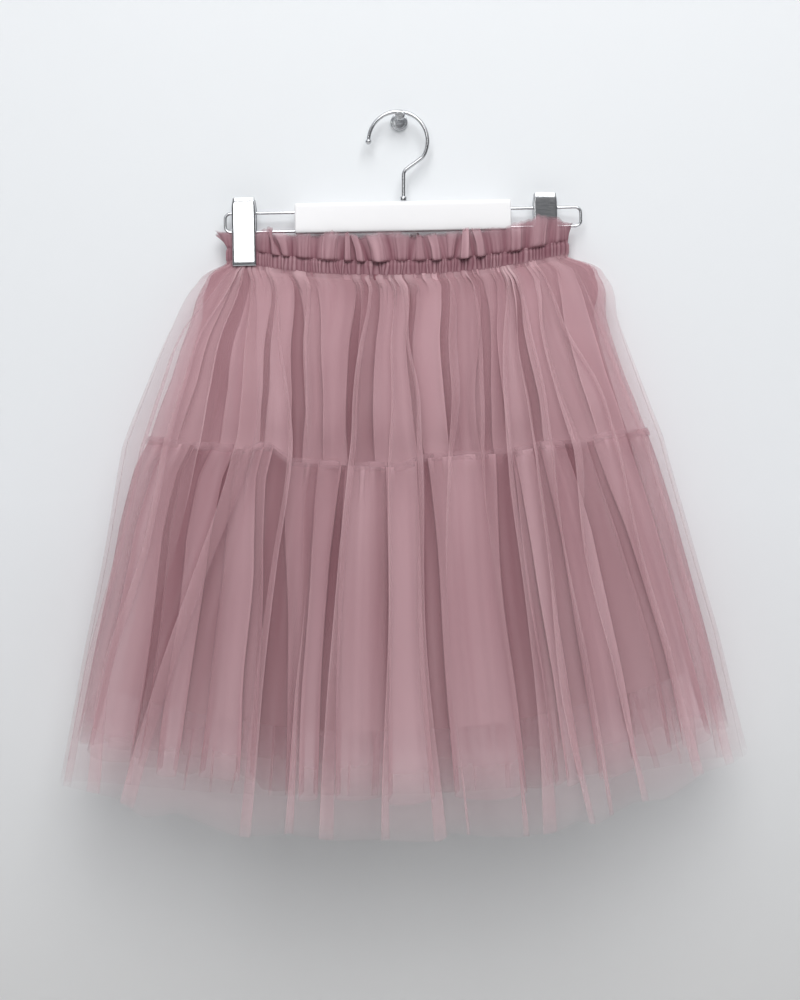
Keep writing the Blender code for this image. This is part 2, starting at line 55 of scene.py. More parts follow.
# %% Camera
camera_data = bpy.data.cameras.new("camera")
camera_data.lens = 80.0
camera_data.sensor_width = 36.0
camera = bpy.data.objects.new("camera", camera_data)
camera.location = (0.0009, -2.06, -0.35)
camera.rotation_euler = (math.radians(90.0), 0.0, 0.0)
bpy.context.scene.collection.objects.link(camera)
bpy.context.scene.camera = camera
print("camera at", tuple(camera.location))

# %% [markdown]
# ## The form that all the layers share
# Seen from above, the skirt is an oval: a flat lens at the waist that opens into a round bell. A layer of
# cloth is laid out by three numbers: the level down the skirt (0 under the waistband, 1 at the tier seam, 2
# at the overlay's hem), the angle from the left side seam to the right one, and the rise out from the oval.
# These are the same values as in the CAD source, so each surface lies on its solid.

# %% Values shared with the CAD, in millimetres
LEAN_ANGLE = math.radians(1.1)
LEAN = math.tan(LEAN_ANGLE)
WALL = 1.0
GAP = 0.3
# Level, then the reach of the outermost cloth: left, right, front y, side seam y, back y
SECTIONS = np.array((
    (0.00, 159.0, 156.0, -32.0, -16.0, -4.5),
    (0.04, 174.0, 177.0, -40.0, -18.5, -3.0),
    (0.12, 187.0, 190.0, -51.0, -22.0, -2.5),
    (0.36, 207.0, 199.0, -75.0, -32.0, -2.2),
    (0.66, 226.0, 215.0, -99.0, -42.0, -2.0),
    (1.00, 246.0, 235.0, -120.0, -51.0, -2.0),
    (1.33, 262.0, 260.0, -142.0, -60.0, -2.0),
    (1.66, 281.0, 286.0, -163.0, -70.0, -2.0),
    (2.00, 300.0, 311.0, -187.0, -80.0, -2.0),
))
# Height at the side seams, sag at the front and at the back, and how much higher the right end is
BAND_TOP = (-114.0, 17.0, 11.0, 0.0)
BAND_BOTTOM = (-130.0, 18.0, 12.0, 0.0)
TIER_SEAM = (-297.0, 18.0, 12.0, 0.0)
OVERLAY_HEM = (-590.5, 46.5, 32.0, 11.0)
# Half-height of the folds of the lining, the tiers and the overlay
FOLD_ROOM = {"front": (2.0, 7.0, 5.0), "back": (1.0, 4.0, 3.0)}
# The layers start a little above the waistband's lower edge, inside its casing, and end at these levels
UNDER_BAND, LINING_END, TIER_END, OVERLAY_END = -0.025, 1.73, 1.885, 2.0
print("levels", SECTIONS[0, 0], "to", SECTIONS[-1, 0])

# %% The oval


def smooth_between(value, knots, heights):
    """Smooth curve through the knots: a cubic between each two, whose slope at a knot is the mean slope
    beside it."""
    slopes = np.gradient(heights, knots)
    spot = np.clip(np.searchsorted(knots, value) - 1, 0, len(knots) - 2)
    width = knots[spot + 1] - knots[spot]
    part = np.clip((value - knots[spot]) / width, 0.0, 1.0)
    low = (1 + 2 * part) * (1 - part) ** 2 * heights[spot] + part * (1 - part) ** 2 * width * slopes[spot]
    high = part**2 * (3 - 2 * part) * heights[spot + 1] - part**2 * (1 - part) * width * slopes[spot + 1]
    return low + high


def ramp(value, start, end):
    """0 up to the start, 1 past the end, and a straight line between them."""
    return np.clip((value - start) / (end - start), 0.0, 1.0)


def growth(level):
    """How far folds and room have grown: a ramp from level 0 to 0.9, to the power 0.8."""
    return ramp(level, 0.0, 0.9) ** 0.8


def side_room(level):
    """Rise of the overlay at the side seams."""
    return 3 * WALL + 3 * GAP + 7.0 * growth(level)


def oval(level, angle, side):
    """x = middle + half width times -cos(angle), y = seam y plus or minus depth times sin(angle) to a power.
    Also gives the outward direction, which is the tangent turned by a right angle."""
    reaches = (smooth_between(level, SECTIONS[:, 0], column) for column in SECTIONS[:, 1:].T)
    left, right, front_y, seam_y, back_y = reaches
    facing = -1.0 if side == "front" else 1.0
    reach = seam_y - front_y if side == "front" else back_y - seam_y
    depth = reach - side_room(level) - 2 * growth(level) * sum(FOLD_ROOM[side])
    middle, half = (right - left) / 2, (left + right) / 2 - side_room(level)
    power = 1.0 + 0.9 * np.maximum(0.0, 1.0 - level / 0.5)
    safe = np.clip(angle, 1e-3, math.pi - 1e-3)
    x = middle - half * np.cos(angle)
    y = seam_y + facing * (depth * np.sin(safe) ** power + GAP / 2)
    step_x = half * np.sin(safe)
    step_y = facing * depth * power * np.sin(safe) ** (power - 1.0) * np.cos(safe)
    out_x, out_y = -facing * step_y, facing * step_x
    length = np.hypot(out_x, out_y)
    end = np.abs(np.cos(angle)) ** 40
    out_x = out_x / length * (1 - end) - np.sign(np.cos(angle)) * end
    out_y = out_y / length * (1 - end)
    length = np.hypot(out_x, out_y)
    return x, y, out_x / length, out_y / length


def line_z(line, place, side):
    """Side height, plus half the lift times the place, minus the sag times (1 - |place| ** 2.2)."""
    side_z, front_sag, back_sag, lift = line
    sag = front_sag if side == "front" else back_sag
    return side_z + lift / 2 * place - sag * (1.0 - np.abs(place) ** 2.2)


def level_z(level, place, side):
    """Height of a level, in straight steps from the waistband to the tier seam and on to the hem."""
    top, seam, hem = (line_z(line, place, side) for line in (BAND_BOTTOM, TIER_SEAM, OVERLAY_HEM))
    return np.where(level <= 1.0, top + (seam - top) * level, seam + (hem - seam) * (level - 1.0))


def room(level, angle, side):
    """Floor and half-height of the folds of the lining, the tiers and the overlay, as in the CAD."""
    swell = growth(level) * np.sin(angle) ** 0.7
    lining, tier, overlay = (size * swell for size in FOLD_ROOM[side])
    lining_floor = GAP / 2 + WALL
    tier_floor = lining_floor + 2 * lining + GAP + WALL + 3.0 * growth(level)
    overlay_floor = tier_floor + 2 * tier + GAP + WALL + 4.0 * growth(level)
    return (lining_floor, lining), (tier_floor, tier), (overlay_floor, overlay)


def cloth_grid(level, angle, rise, side, inset):
    """Grid of points from levels, angles and rises. inset says how far both ends are drawn in."""
    x, y, out_x, out_y = oval(level, angle, side)
    x, y = x + rise * out_x, y + rise * out_y
    middle = smooth_between(level, SECTIONS[:, 0], (SECTIONS[:, 2] - SECTIONS[:, 1]) / 2)
    left, right = (np.interp(level, inset[:, 0], inset[:, k]) for k in (1, 2))
    pull = np.where(x < middle, left, right)
    x = x - np.sign(x - middle) * pull * np.minimum(np.abs(x - middle) / 150.0, 1.0) ** 1.5
    z = level_z(level, -np.cos(angle), side) + x * LEAN
    return np.stack(np.broadcast_arrays(x, y, z), axis=-1)


print("front of the skirt at the seam: y =", round(float(oval(1.0, math.pi / 2, "front")[1]), 1), "mm")

# %% [markdown]
# ## A fold engine
# A gathered layer is one long strip, folded over itself again and again. Seen from above, each fold is a Z:
# the cloth passes beyond the fold line, turns back under itself, and goes on. In sheer net the three
# thicknesses of the Z show as a paler strip with two crisp edges, which is what the eye follows down this
# skirt. A deep valley between two tubes is drawn as an omega: both lips hang over a floor further in. Lists
# of such turning points are laid out along the cloth, all rows at once, and a light smoothing rounds the
# lips.

# %% Fold engine
CHECK_LEVELS = np.array((0.05, 0.35, 0.70, 1.00, 1.30, 1.65, 2.00))
ANY_PHASE = 6.3
SQUEEZED_FROM, SQUEEZED_INTO = 0.84, 0.145


def arc_tables(level, side):
    """Length of cloth from the left seam to each of many angles, for every row, a little way out."""
    dense = np.clip(math.pi * (0.5 - 0.5 * np.cos(np.linspace(0.0, math.pi, 901))), 1e-4, math.pi - 1e-4)
    x, y, out_x, out_y = oval(level, dense[None, :], side)
    away = side_room(level)
    steps = np.hypot(np.diff(x + away * out_x), np.diff(y + away * out_y))
    return dense, np.concatenate((np.zeros((len(level), 1)), np.cumsum(steps, axis=1)), axis=1)


def softened(values, passes):
    """Each pass gives every column half of itself and a quarter of each neighbour."""
    values = values.copy()
    for _ in range(passes):
        values[:, 1:-1] = (values[:, :-2] + 2 * values[:, 1:-1] + values[:, 2:]) / 4
    return values


def wander(level, seed, size):
    """Random drift down the cloth, in millimetres: four sine waves, the shorter the weaker."""
    draw = np.random.default_rng(seed)
    return size * sum(
        draw.normal() / k**1.5 * np.sin(math.pi * k * level + draw.uniform(0, ANY_PHASE)) for k in range(1, 5)
    )


def crumple(level, share, seed):
    """Soft dents of thin cloth, about -1 to 1: the sum of slanted sine waves, the shortest about 60 mm long
    down the skirt and 25 mm across it, whose phases are bent by one slower wave."""
    draw = np.random.default_rng(seed)
    bend = 1.5 * np.sin(2.2 * level + 9.0 * share + draw.uniform(0, ANY_PHASE))
    dents = 0.0
    for _ in range(9):
        slanted = draw.uniform(5, 17) * level + draw.uniform(-110, 110) * share
        dents = dents + np.sin(slanted + bend + draw.uniform(0, ANY_PHASE))
    return dents / 3.0


def fold_places(places, rows, side):
    """Places of one fold on every row. They are joined in millimetres from the middle, so that a fold stays
    straight where the oval widens fast, and above the first level it keeps its slope. There a place near a
    side seam is squeezed: 0.84 + 0.145 (1 - exp(-(place - 0.84) / 0.145))."""
    def half_width(levels):
        ends = oval(levels[:, None], np.array([[0.0, math.pi]]), side)[0]
        return (ends[:, 1] - ends[:, 0]) / 2

    knots = np.array(places, float) * half_width(CHECK_LEVELS)
    slope = (knots[1] - knots[0]) / (CHECK_LEVELS[1] - CHECK_LEVELS[0])
    across = smooth_between(rows, CHECK_LEVELS, knots) + slope * np.minimum(rows - CHECK_LEVELS[0], 0.0)
    place = across / half_width(rows)
    size = np.abs(place)
    beyond = np.maximum(size - SQUEEZED_FROM, 0.0)
    squeezed = np.minimum(size, SQUEEZED_FROM) + SQUEEZED_INTO * (1 - np.exp(-beyond / SQUEEZED_INTO))
    weight = ramp(rows, 0.30, 0.05)
    return np.sign(place) * (size * (1 - weight) + squeezed * weight)


def folded(level, side, folds, columns, puff, smooth=3, seed=0, depth=0.8):
    """Angles, relative rises (-1 to 1), lengths along the cloth and a random tone for each panel of a
    folded strip. folds has rows of (kind, places at CHECK_LEVELS, widths at CHECK_LEVELS), kind 1 or -1 for
    a Z that laps to the right or to the left, and 0 for an omega valley. puff is how far a panel between
    two folds bulges."""
    dense, length = arc_tables(level, side)
    rows = level[:, 0]
    total = length[:, -1]
    arcs, rises = [np.zeros_like(rows)], [np.zeros_like(rows)]
    for number, (kind, places, widths) in enumerate(folds):
        place = fold_places(places, rows, side)
        width = smooth_between(rows, CHECK_LEVELS, np.array(widths, float))
        width = np.maximum(width, 0.0) * total / total.max()
        angle = np.arccos(-np.clip(place, -0.995, 0.995))
        centre = np.array([np.interp(a, dense, row) for a, row in zip(angle, length)])
        centre = centre + wander(rows, seed + number, 1.8) * growth(rows)
        size = depth * np.minimum(width / 5.0, 1.0)
        left, right = centre - width / 2, centre + width / 2
        if kind:
            arcs += [right, left]
            rises += [kind * size, -kind * size]
        else:
            tuck = np.minimum(0.6 * width, 7.0)
            arcs += [left, left - tuck, right + tuck, right]
            rises += [0.35 * size, -size, -size, 0.35 * size]
    arcs, rises = np.array(arcs + [total]), np.array(rises + [np.zeros_like(rows)])
    reach = np.cumsum(np.concatenate(([0.0], np.abs(np.diff(arcs, axis=0)).mean(axis=1) + 2.0)))
    along = np.linspace(0.0, reach[-1], columns)
    spot = np.clip(np.searchsorted(reach, along) - 1, 0, len(reach) - 2)
    part = (along - reach[spot]) / (reach[spot + 1] - reach[spot])
    arc = arcs[spot].T * (1 - part) + arcs[spot + 1].T * part
    rise = rises[spot].T * (1 - part) + rises[spot + 1].T * part
    forward = (np.diff(arcs, axis=0).mean(axis=1) > 0)[spot]
    span = (arcs[spot + 1] - arcs[spot]).T
    rise += puff * np.sin(math.pi * part) ** 0.8 * forward * ramp(span, 0.0, 40.0)
    panel = np.random.default_rng(seed + 5).normal(size=len(reach))[spot]
    panel = softened(np.where(forward, panel, 0.0)[None, :], 5)[0]
    arc, rise = softened(arc, smooth), softened(rise, smooth)
    arc[:, 0], arc[:, -1] = 0.0, total
    angle = np.array([np.interp(a, row, dense) for a, row in zip(arc, length)])
    angle[:, 0], angle[:, -1] = 0.0, math.pi
    return angle, rise, arc, panel


def uneven(share, pitch):
    """Phase that grows by 1 for each pleat of the given pitches, and the number of the pleat."""
    edges = np.concatenate(([0.0], np.cumsum(pitch))) / pitch.sum()
    phase = np.interp(share, edges, np.arange(len(pitch) + 1))
    return phase, np.minimum(phase.astype(int), len(pitch) - 1)


def gathers(level, columns, count, seed, fade):
    """Small pleats drawn up at a seam. Each has its own height, and dies out at its own distance from the
    seam. Gives a shift along the cloth (sin of twice the phase, -1 to 1) and a rise (half of 1 minus the cos
    of the phase, 0 to 1)."""
    draw = np.random.default_rng(seed)
    phase, pleat = uneven(np.linspace(0.0, 1.0, columns), draw.uniform(0.35, 1.9, count))
    height = draw.uniform(0.35, 1.0, count)[pleat]
    length = draw.uniform(0.25, 1.0, count)[pleat] ** 2 * 3.2 * fade + 0.3 * fade
    strength = height * np.exp(-((level / length) ** 1.3))
    return strength * np.sin(4 * math.pi * phase), strength * (0.5 - 0.5 * np.cos(2 * math.pi * phase))


print("fold tables are read at levels", CHECK_LEVELS.tolist())

# %% [markdown]
# ## From points to a mesh
# The mesh keeps a UV map in metres of real cloth, so the net's threads follow the folds. It also keeps an
# attribute for how much thread the eye meets: where net turns edge-on on a fold, its threads close up, so
# the cover is one minus the open share to the power of (length of cloth over its width across the panel).

# %% Mesh helpers


def add_surface(name, grid, finish, inside_out=False, closed=False, capped=False):
    """Mesh of quads from a grid of points in millimetres, with a UV map in metres of cloth. closed joins
    the last column to the first, and capped fills the ring at both ends."""
    rows, columns, _ = grid.shape
    index = np.arange(rows * columns).reshape(rows, columns)
    if closed:
        index = np.concatenate((index, index[:, :1]), axis=1)
    quads = np.stack((index[:-1, :-1], index[1:, :-1], index[1:, 1:], index[:-1, 1:]), axis=-1).reshape(-1, 4)
    caps = np.empty((0, columns), int)
    if capped:
        caps = np.stack((index[0, :columns], index[-1, :columns][::-1]))
    if inside_out:
        quads, caps = quads[:, ::-1], caps[:, ::-1]
    corners = np.concatenate((quads.ravel(), caps.ravel()))
    starts = np.concatenate((np.arange(0, quads.size, 4), quads.size + columns * np.arange(len(caps))))
    mesh = bpy.data.meshes.new(name)
    mesh.vertices.add(rows * columns)
    mesh.vertices.foreach_set("co", (grid * MM).ravel())
    mesh.loops.add(len(corners))
    mesh.loops.foreach_set("vertex_index", corners)
    mesh.polygons.add(len(starts))
    mesh.polygons.foreach_set("loop_start", starts)
    mesh.update(calc_edges=True)
    mesh.validate()
    mesh.shade_smooth()
    across = np.cumsum(np.linalg.norm(np.diff(grid, axis=1, prepend=grid[:, :1]), axis=2), axis=1)
    down = np.cumsum(np.linalg.norm(np.diff(grid, axis=0, prepend=grid[:1]), axis=2), axis=0)
    flat = np.stack((across, -down), axis=-1).reshape(-1, 2) * MM
    mesh.uv_layers.new(name="cloth").data.foreach_set("uv", flat[corners].ravel())
    mesh.materials.append(finish)
    piece = bpy.data.objects.new(name, mesh)
    bpy.context.scene.collection.objects.link(piece)
    return piece


def keep_values(piece, name, values):
    """Store one number for each vertex of the piece."""
    layer = piece.data.attributes.new(name, "FLOAT", "POINT")
    layer.data.foreach_set("value", np.clip(values, 0.0, 1.0).ravel().astype(np.float32))


def streaks(rows, columns, seed):
    """Tone near 0.5: random numbers along the rows, softened, that drift slowly down the columns."""
    draw = np.random.default_rng(seed)
    first, last = (softened(draw.normal(size=(1, columns)), 6) for _ in range(2))
    down = np.linspace(0.0, 1.0, rows)[:, None]
    mixed = first * np.cos(math.pi / 2 * down) + last * np.sin(math.pi / 2 * down)
    return 0.5 + 0.065 * mixed / mixed.std()


def keep_cloth(piece, grid, cover, depth, seed):
    """The two attributes that the tulle reads. Its tone is slow random streaks plus the given depth, which is
    painted shade deep in the folds and painted light on their crests."""
    keep_values(piece, "cover", cover)
    keep_values(piece, "tone", streaks(*grid.shape[:2], seed) + depth)


def thread_cover(arc, rise, base, extra):
    """Cover = 1 - (1 - base) to the power of (cloth length / width across the panel), at most 4 times."""
    step, lift = np.gradient(arc, axis=1), np.gradient(rise, axis=1)
    ratio = np.hypot(step, lift) / np.maximum(np.abs(step), 1e-3)
    ratio = softened(np.minimum(ratio, 4.0), 1)
    return 1.0 - (1.0 - np.clip(base + extra, 0.0, 0.98)) ** ratio


def soft_edge(level, end, reach=0.05):
    """Cut net frays open over its last few millimetres: the cover falls to a third there."""
    return 0.33 + 0.67 * ramp(level, end, end - reach)


def measure(grid):
    """Width and length of the cut in metres: the mean length of the rows and of the columns."""
    width = np.linalg.norm(np.diff(grid, axis=1), axis=2).sum(axis=1)
    length = np.linalg.norm(np.diff(grid, axis=0), axis=2).sum(axis=0)
    return float(width.mean()) * MM, float(length.mean()) * MM


def finish_piece(piece, slot, *nodes):
    """Ride on the one body and stand for CAD nodes. The slot is not used."""
    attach(piece, "root")
    if nodes:
        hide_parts(*nodes)


def finish_sheet(piece, slot, node, flat, held, *rests_on):
    """Finish a piece of cloth, and print its cut: width and length in metres, opened out flat."""
    finish_piece(piece, slot, node)
    print(piece.name, "cut", [round(value, 3) for value in flat], "m,", len(piece.data.polygons), "faces")


print("mesh helpers ready")

# %% [markdown]
# ## Materials
# One small function adds a node with its settings and its links, and every finish is written out with it.
# Colours are hex values as a screen shows them, and one function turns them into the linear values that
# Blender's shaders use.

# %% Material helpers


def linear(code):
    """sRGB hex to linear: (c + 0.055) / 1.055 to the power 2.4, or c / 12.92 when dark."""
    c = np.array([int(code[k:k + 2], 16) for k in (1, 3, 5)]) / 255.0
    return (*np.where(c <= 0.04045, c / 12.92, ((c + 0.055) / 1.055) ** 2.4).tolist(), 1.0)


def add_node(tree, kind, settings=None, links=None):
    """Add a shader node, set its properties or its sockets' values, and link outputs into it."""
    node = tree.nodes.new("ShaderNode" + kind)
    for key, value in (settings or {}).items():
        if isinstance(key, str) and key in node.bl_rna.properties:
            setattr(node, key, value)
        else:
            node.inputs[key].default_value = value
    for key, source in (links or {}).items():
        tree.links.new(source, node.inputs[key])
    return node


def blend(tree, share, first, second):
    """Colour between two hex colours, by a linked share."""
    ends = {"data_type": "RGBA", 6: linear(first), 7: linear(second)}
    return add_node(tree, "Mix", ends, {0: share}).outputs[2]


def relief(tree, height, strength, distance):
    """Bump from a linked height: its strength, and its depth in metres."""
    settings = {"Strength": strength, "Distance": distance}
    return add_node(tree, "Bump", settings, {"Height": height}).outputs["Normal"]


def new_finish(name, **sockets):
    """A material, its node tree and its shader, with the constants set on the shader's own sockets."""
    made = bpy.data.materials.new(name)
    made.use_nodes = True
    shader = made.node_tree.nodes["Principled BSDF"]
    for key, value in sockets.items():
        shader.inputs[key.replace("_", " ")].default_value = value
    return made, made.node_tree, shader


def feed(shader, **sources):
    """Link a source into each named socket of the shader."""
    for key, source in sources.items():
        shader.id_data.links.new(source, shader.inputs[key.replace("_", " ")])


print("hex #808080 is linear", round(linear("#808080")[0], 3))

# %% [markdown]
# ### Tulle
# Tulle is a knitted net of fine nylon threads round open hexagons, here about 1 mm across. What the eye
# gets is a haze: a share of pink thread and a share of what lies behind. So the alpha comes from the cover
# attribute, and two crossed sine waves in real cloth metres break it up into diamonds. The real holes are
# about one pixel wide, so the net is drawn 2.4 mm wide to show at all. Light rays cross a dozen layers of
# this net, and a sine costs them little. A tone attribute, worked out once for each vertex, mixes a shade
# colour and a light colour: it holds the slow streaks of knitted net, and painted shade in the folds and
# painted light on their crests and edges.

# %% Tulle
NET_SCALE = 2 * math.pi / 0.0024


def tulle(name, shade, light):
    """Nylon tulle, warp-knitted: matt, with a faint sheen where it turns away."""
    made, tree, shader = new_finish(
        name, Roughness=0.85, Specular_IOR_Level=0.25,
        Sheen_Weight=0.25, Sheen_Roughness=0.4, Sheen_Tint=linear("#f3dfe1"),
    )
    cloth = add_node(tree, "UVMap", {"uv_map": "cloth"}).outputs["UV"]
    diagonal = {"Rotation": (0.0, 0.0, math.radians(45.0)), "Scale": (NET_SCALE,) * 3}
    turned = add_node(tree, "Mapping", diagonal, {"Vector": cloth}).outputs[0]
    ways = add_node(tree, "SeparateXYZ", {}, {0: turned}).outputs
    waves = [add_node(tree, "Math", {"operation": "SINE"}, {0: way}).outputs[0] for way in ways[:2]]
    net = add_node(tree, "Math", {"operation": "MULTIPLY"}, {0: waves[0], 1: waves[1]}).outputs[0]
    faint = {"From Min": -1.0, "From Max": 1.0, "To Min": 0.965, "To Max": 1.035}
    thread = add_node(tree, "MapRange", faint, {"Value": net}).outputs["Result"]
    cover = add_node(tree, "Attribute", {"attribute_name": "cover"}).outputs["Fac"]
    clamped = {"operation": "MULTIPLY", "use_clamp": True}
    alpha = add_node(tree, "Math", clamped, {0: cover, 1: thread}).outputs[0]
    # Tone: the net's streaks, with painted shade in the folds and painted light on their crests
    tone = add_node(tree, "Attribute", {"attribute_name": "tone"}).outputs["Fac"]
    mixed = blend(tree, tone, shade, light)
    feed(shader, Alpha=alpha, Base_Color=mixed, Normal=relief(tree, thread, 0.05, 0.0002))
    return made


sheer_tulle = tulle("sheer_nylon_tulle_dusty_rose", "#a8757e", "#e6c2c7")
tier_tulle = tulle("doubled_nylon_tulle_dusty_rose", "#7f414d", "#e2b9c0")
gathered_tulle = tulle("gathered_nylon_tulle_dusty_rose", "#7d4f5a", "#cda6ad")
print("tulle finishes:", sheer_tulle.name, tier_tulle.name, gathered_tulle.name)

# %% [markdown]
# ### Lining
# The lining is a plain woven polyester satin: it closes the view, and its long floats give a soft shine that
# runs with the folds.

# %% Lining satin
lining_satin, tree, shader = new_finish(
    "polyester_satin_woven_lining", Roughness=0.5, Sheen_Weight=0.15, Specular_IOR_Level=0.4
)
cloth = add_node(tree, "UVMap", {"uv_map": "cloth"}).outputs["UV"]
floats = add_node(tree, "Mapping", {"Scale": (900.0, 120.0, 1.0)}, {"Vector": cloth}).outputs[0]
weave = add_node(tree, "TexNoise", {"Scale": 1.0, "Detail": 2.0}, {"Vector": floats}).outputs["Fac"]
colour = blend(tree, weave, "#905d67", "#a16f79")
# Near its open hem the wall's light comes through the cloth
lit = add_node(tree, "Attribute", {"attribute_name": "tone"}).outputs["Fac"]
colour = add_node(tree, "Mix", {"data_type": "RGBA", 7: linear("#b4999d")}, {0: lit, 6: colour}).outputs[2]
feed(shader, Base_Color=colour, Normal=relief(tree, weave, 0.2, 0.0002))
print("lining:", lining_satin.name)

# %% [markdown]
# ### Metal and lacquer
# Hook, loops and clips are steel wire and sheet with a bright chrome plating: smooth, with faint drawing
# lines. The bar is metal tube with a white baked lacquer, so it has a satin gloss and a very fine
# orange-peel surface.

# %% Chrome and lacquer
chrome, tree, shader = new_finish("chrome_plated_steel_drawn", Metallic=1.0, Roughness=0.16)
spot = add_node(tree, "TexCoord").outputs["Object"]
lines = add_node(tree, "Mapping", {"Scale": (160.0, 160.0, 1400.0)}, {"Vector": spot}).outputs[0]
drawn = add_node(tree, "TexNoise", {"Scale": 1.0, "Detail": 2.0}, {"Vector": lines}).outputs["Fac"]
rough = add_node(tree, "MapRange", {"To Min": 0.12, "To Max": 0.24}, {"Value": drawn}).outputs["Result"]
feed(shader, Roughness=rough, Base_Color=blend(tree, drawn, "#c2c4c7", "#dcdee0"))

lacquer, tree, shader = new_finish(
    "white_baked_lacquer_sprayed", Roughness=0.38, Coat_Weight=0.2, Coat_Roughness=0.2
)
spot = add_node(tree, "TexCoord").outputs["Object"]
peel = add_node(tree, "TexNoise", {"Scale": 700.0, "Detail": 2.0}, {"Vector": spot}).outputs["Fac"]
dust = add_node(tree, "TexNoise", {"Scale": 14.0, "Detail": 3.0}, {"Vector": spot}).outputs["Fac"]
sprayed = blend(tree, dust, "#f4f4f5", "#fbfbfb")
feed(shader, Base_Color=sprayed, Normal=relief(tree, peel, 0.12, 0.0001))
print("hanger finishes:", chrome.name, lacquer.name)

# %% [markdown]
# ## The overlay
# The outermost layer is one long length of very sheer net. Its folds were followed from the waist to
# the hem, and each is a row of places across the width (-1 left seam, 1 right seam) and widths in
# millimetres.

# %% Overlay folds, front
OVERLAY_FOLDS = (
    (-1, (-0.935, -0.945, -0.945, -0.940, -0.950, -0.965, -0.960), (2, 4, 5, 5, 6, 9, 10)),
    (-1, (-0.870, -0.875, -0.862, -0.858, -0.872, -0.915, -0.895), (3, 5, 7, 8, 8, 10, 13)),
    (1, (-0.830, -0.785, -0.757, -0.735, -0.775, -0.835, -0.850), (3, 5, 6, 4, 0, 0, 0)),
    (-1, (-0.775, -0.650, -0.597, -0.585, -0.660, -0.737, -0.790), (8, 17, 23, 22, 15, 14, 12)),
    (1, (-0.660, -0.520, -0.425, -0.385, -0.420, -0.450, -0.465), (4, 6, 7, 8, 9, 12, 14)),
    (-1, (-0.480, -0.400, -0.345, -0.320, -0.320, -0.330, -0.330), (5, 7, 4, 0, 0, 4, 9)),
    (-1, (-0.160, -0.145, -0.160, -0.158, -0.188, -0.212, -0.225), (6, 8, 8, 8, 9, 12, 14)),
    (-1, (-0.040, -0.020, 0.002, -0.005, -0.015, -0.045, -0.060), (3, 4, 5, 5, 5, 6, 10)),
    (1, (0.020, 0.055, 0.110, 0.105, 0.083, 0.078, 0.098), (5, 6, 7, 8, 8, 10, 13)),
    (-1, (0.260, 0.262, 0.262, 0.215, 0.165, 0.160, 0.180), (10, 15, 13, 7, 2, 0, 4)),
    (1, (0.370, 0.385, 0.360, 0.338, 0.335, 0.340, 0.350), (6, 8, 7, 5, 0, 0, 6)),
    (-1, (0.550, 0.505, 0.460, 0.440, 0.430, 0.424, 0.422), (6, 9, 9, 8, 9, 12, 16)),
    (-1, (0.575, 0.560, 0.545, 0.525, 0.515, 0.503, 0.550), (0, 0, 3, 6, 7, 10, 9)),
    (1, (0.600, 0.615, 0.620, 0.595, 0.575, 0.585, 0.600), (5, 7, 6, 4, 3, 4, 4)),
    (-1, (0.685, 0.672, 0.690, 0.700, 0.640, 0.660, 0.690), (5, 8, 10, 14, 5, 4, 10)),
    (1, (0.740, 0.765, 0.840, 0.845, 0.830, 0.840, 0.850), (5, 7, 6, 4, 4, 6, 9)),
    (1, (0.930, 0.925, 0.925, 0.930, 0.935, 0.940, 0.945), (3, 5, 6, 5, 5, 8, 9)),
)


def turned_round(folds, shrink):
    """Folds for the hidden back: places mirrored, and widths drawn in and passed on to another fold."""
    turned = []
    for number, (kind, places, _) in enumerate(folds):
        widths = folds[(number + 3) % len(folds)][2]
        turned.append((-kind, tuple(-place for place in places), tuple(shrink * width for width in widths)))
    return turned[::-1]


print("overlay folds at the front:", len(OVERLAY_FOLDS))

# %% [markdown]
# The hem of the overlay is cut, not sewn, and it hangs unevenly: each panel between two folds ends a little
# higher or lower. The tips are a small change of the last levels.

# %% Overlay
# Place across and how far the hem hangs below (or above) its smooth line there, in millimetres
HEM_TIPS = np.array((
    (-1.00, -5.0), (-0.98, -3.0), (-0.92, -6.0), (-0.83, -8.0), (-0.74, 1.0), (-0.64, -10.0),
    (-0.50, 1.0), (-0.46, 3.0), (-0.33, -4.0), (-0.22, 0.0), (-0.05, 0.0), (0.10, 3.0), (0.13, -3.0),
    (0.33, 6.0), (0.43, 8.0), (0.50, 2.0), (0.55, 8.0), (0.66, -2.0), (0.75, 2.0), (0.86, -8.0),
    (0.93, -6.0), (0.98, -7.0), (1.00, -9.0),
))
# Level, then how far a layer is drawn in at the left and at the right, in millimetres
OVERLAY_INSET = np.array(((0.0, 0.0, 0.0), (1.6, 0.0, 0.0), (2.0, 2.5, 5.0)))
SHEER_COVER = 0.21


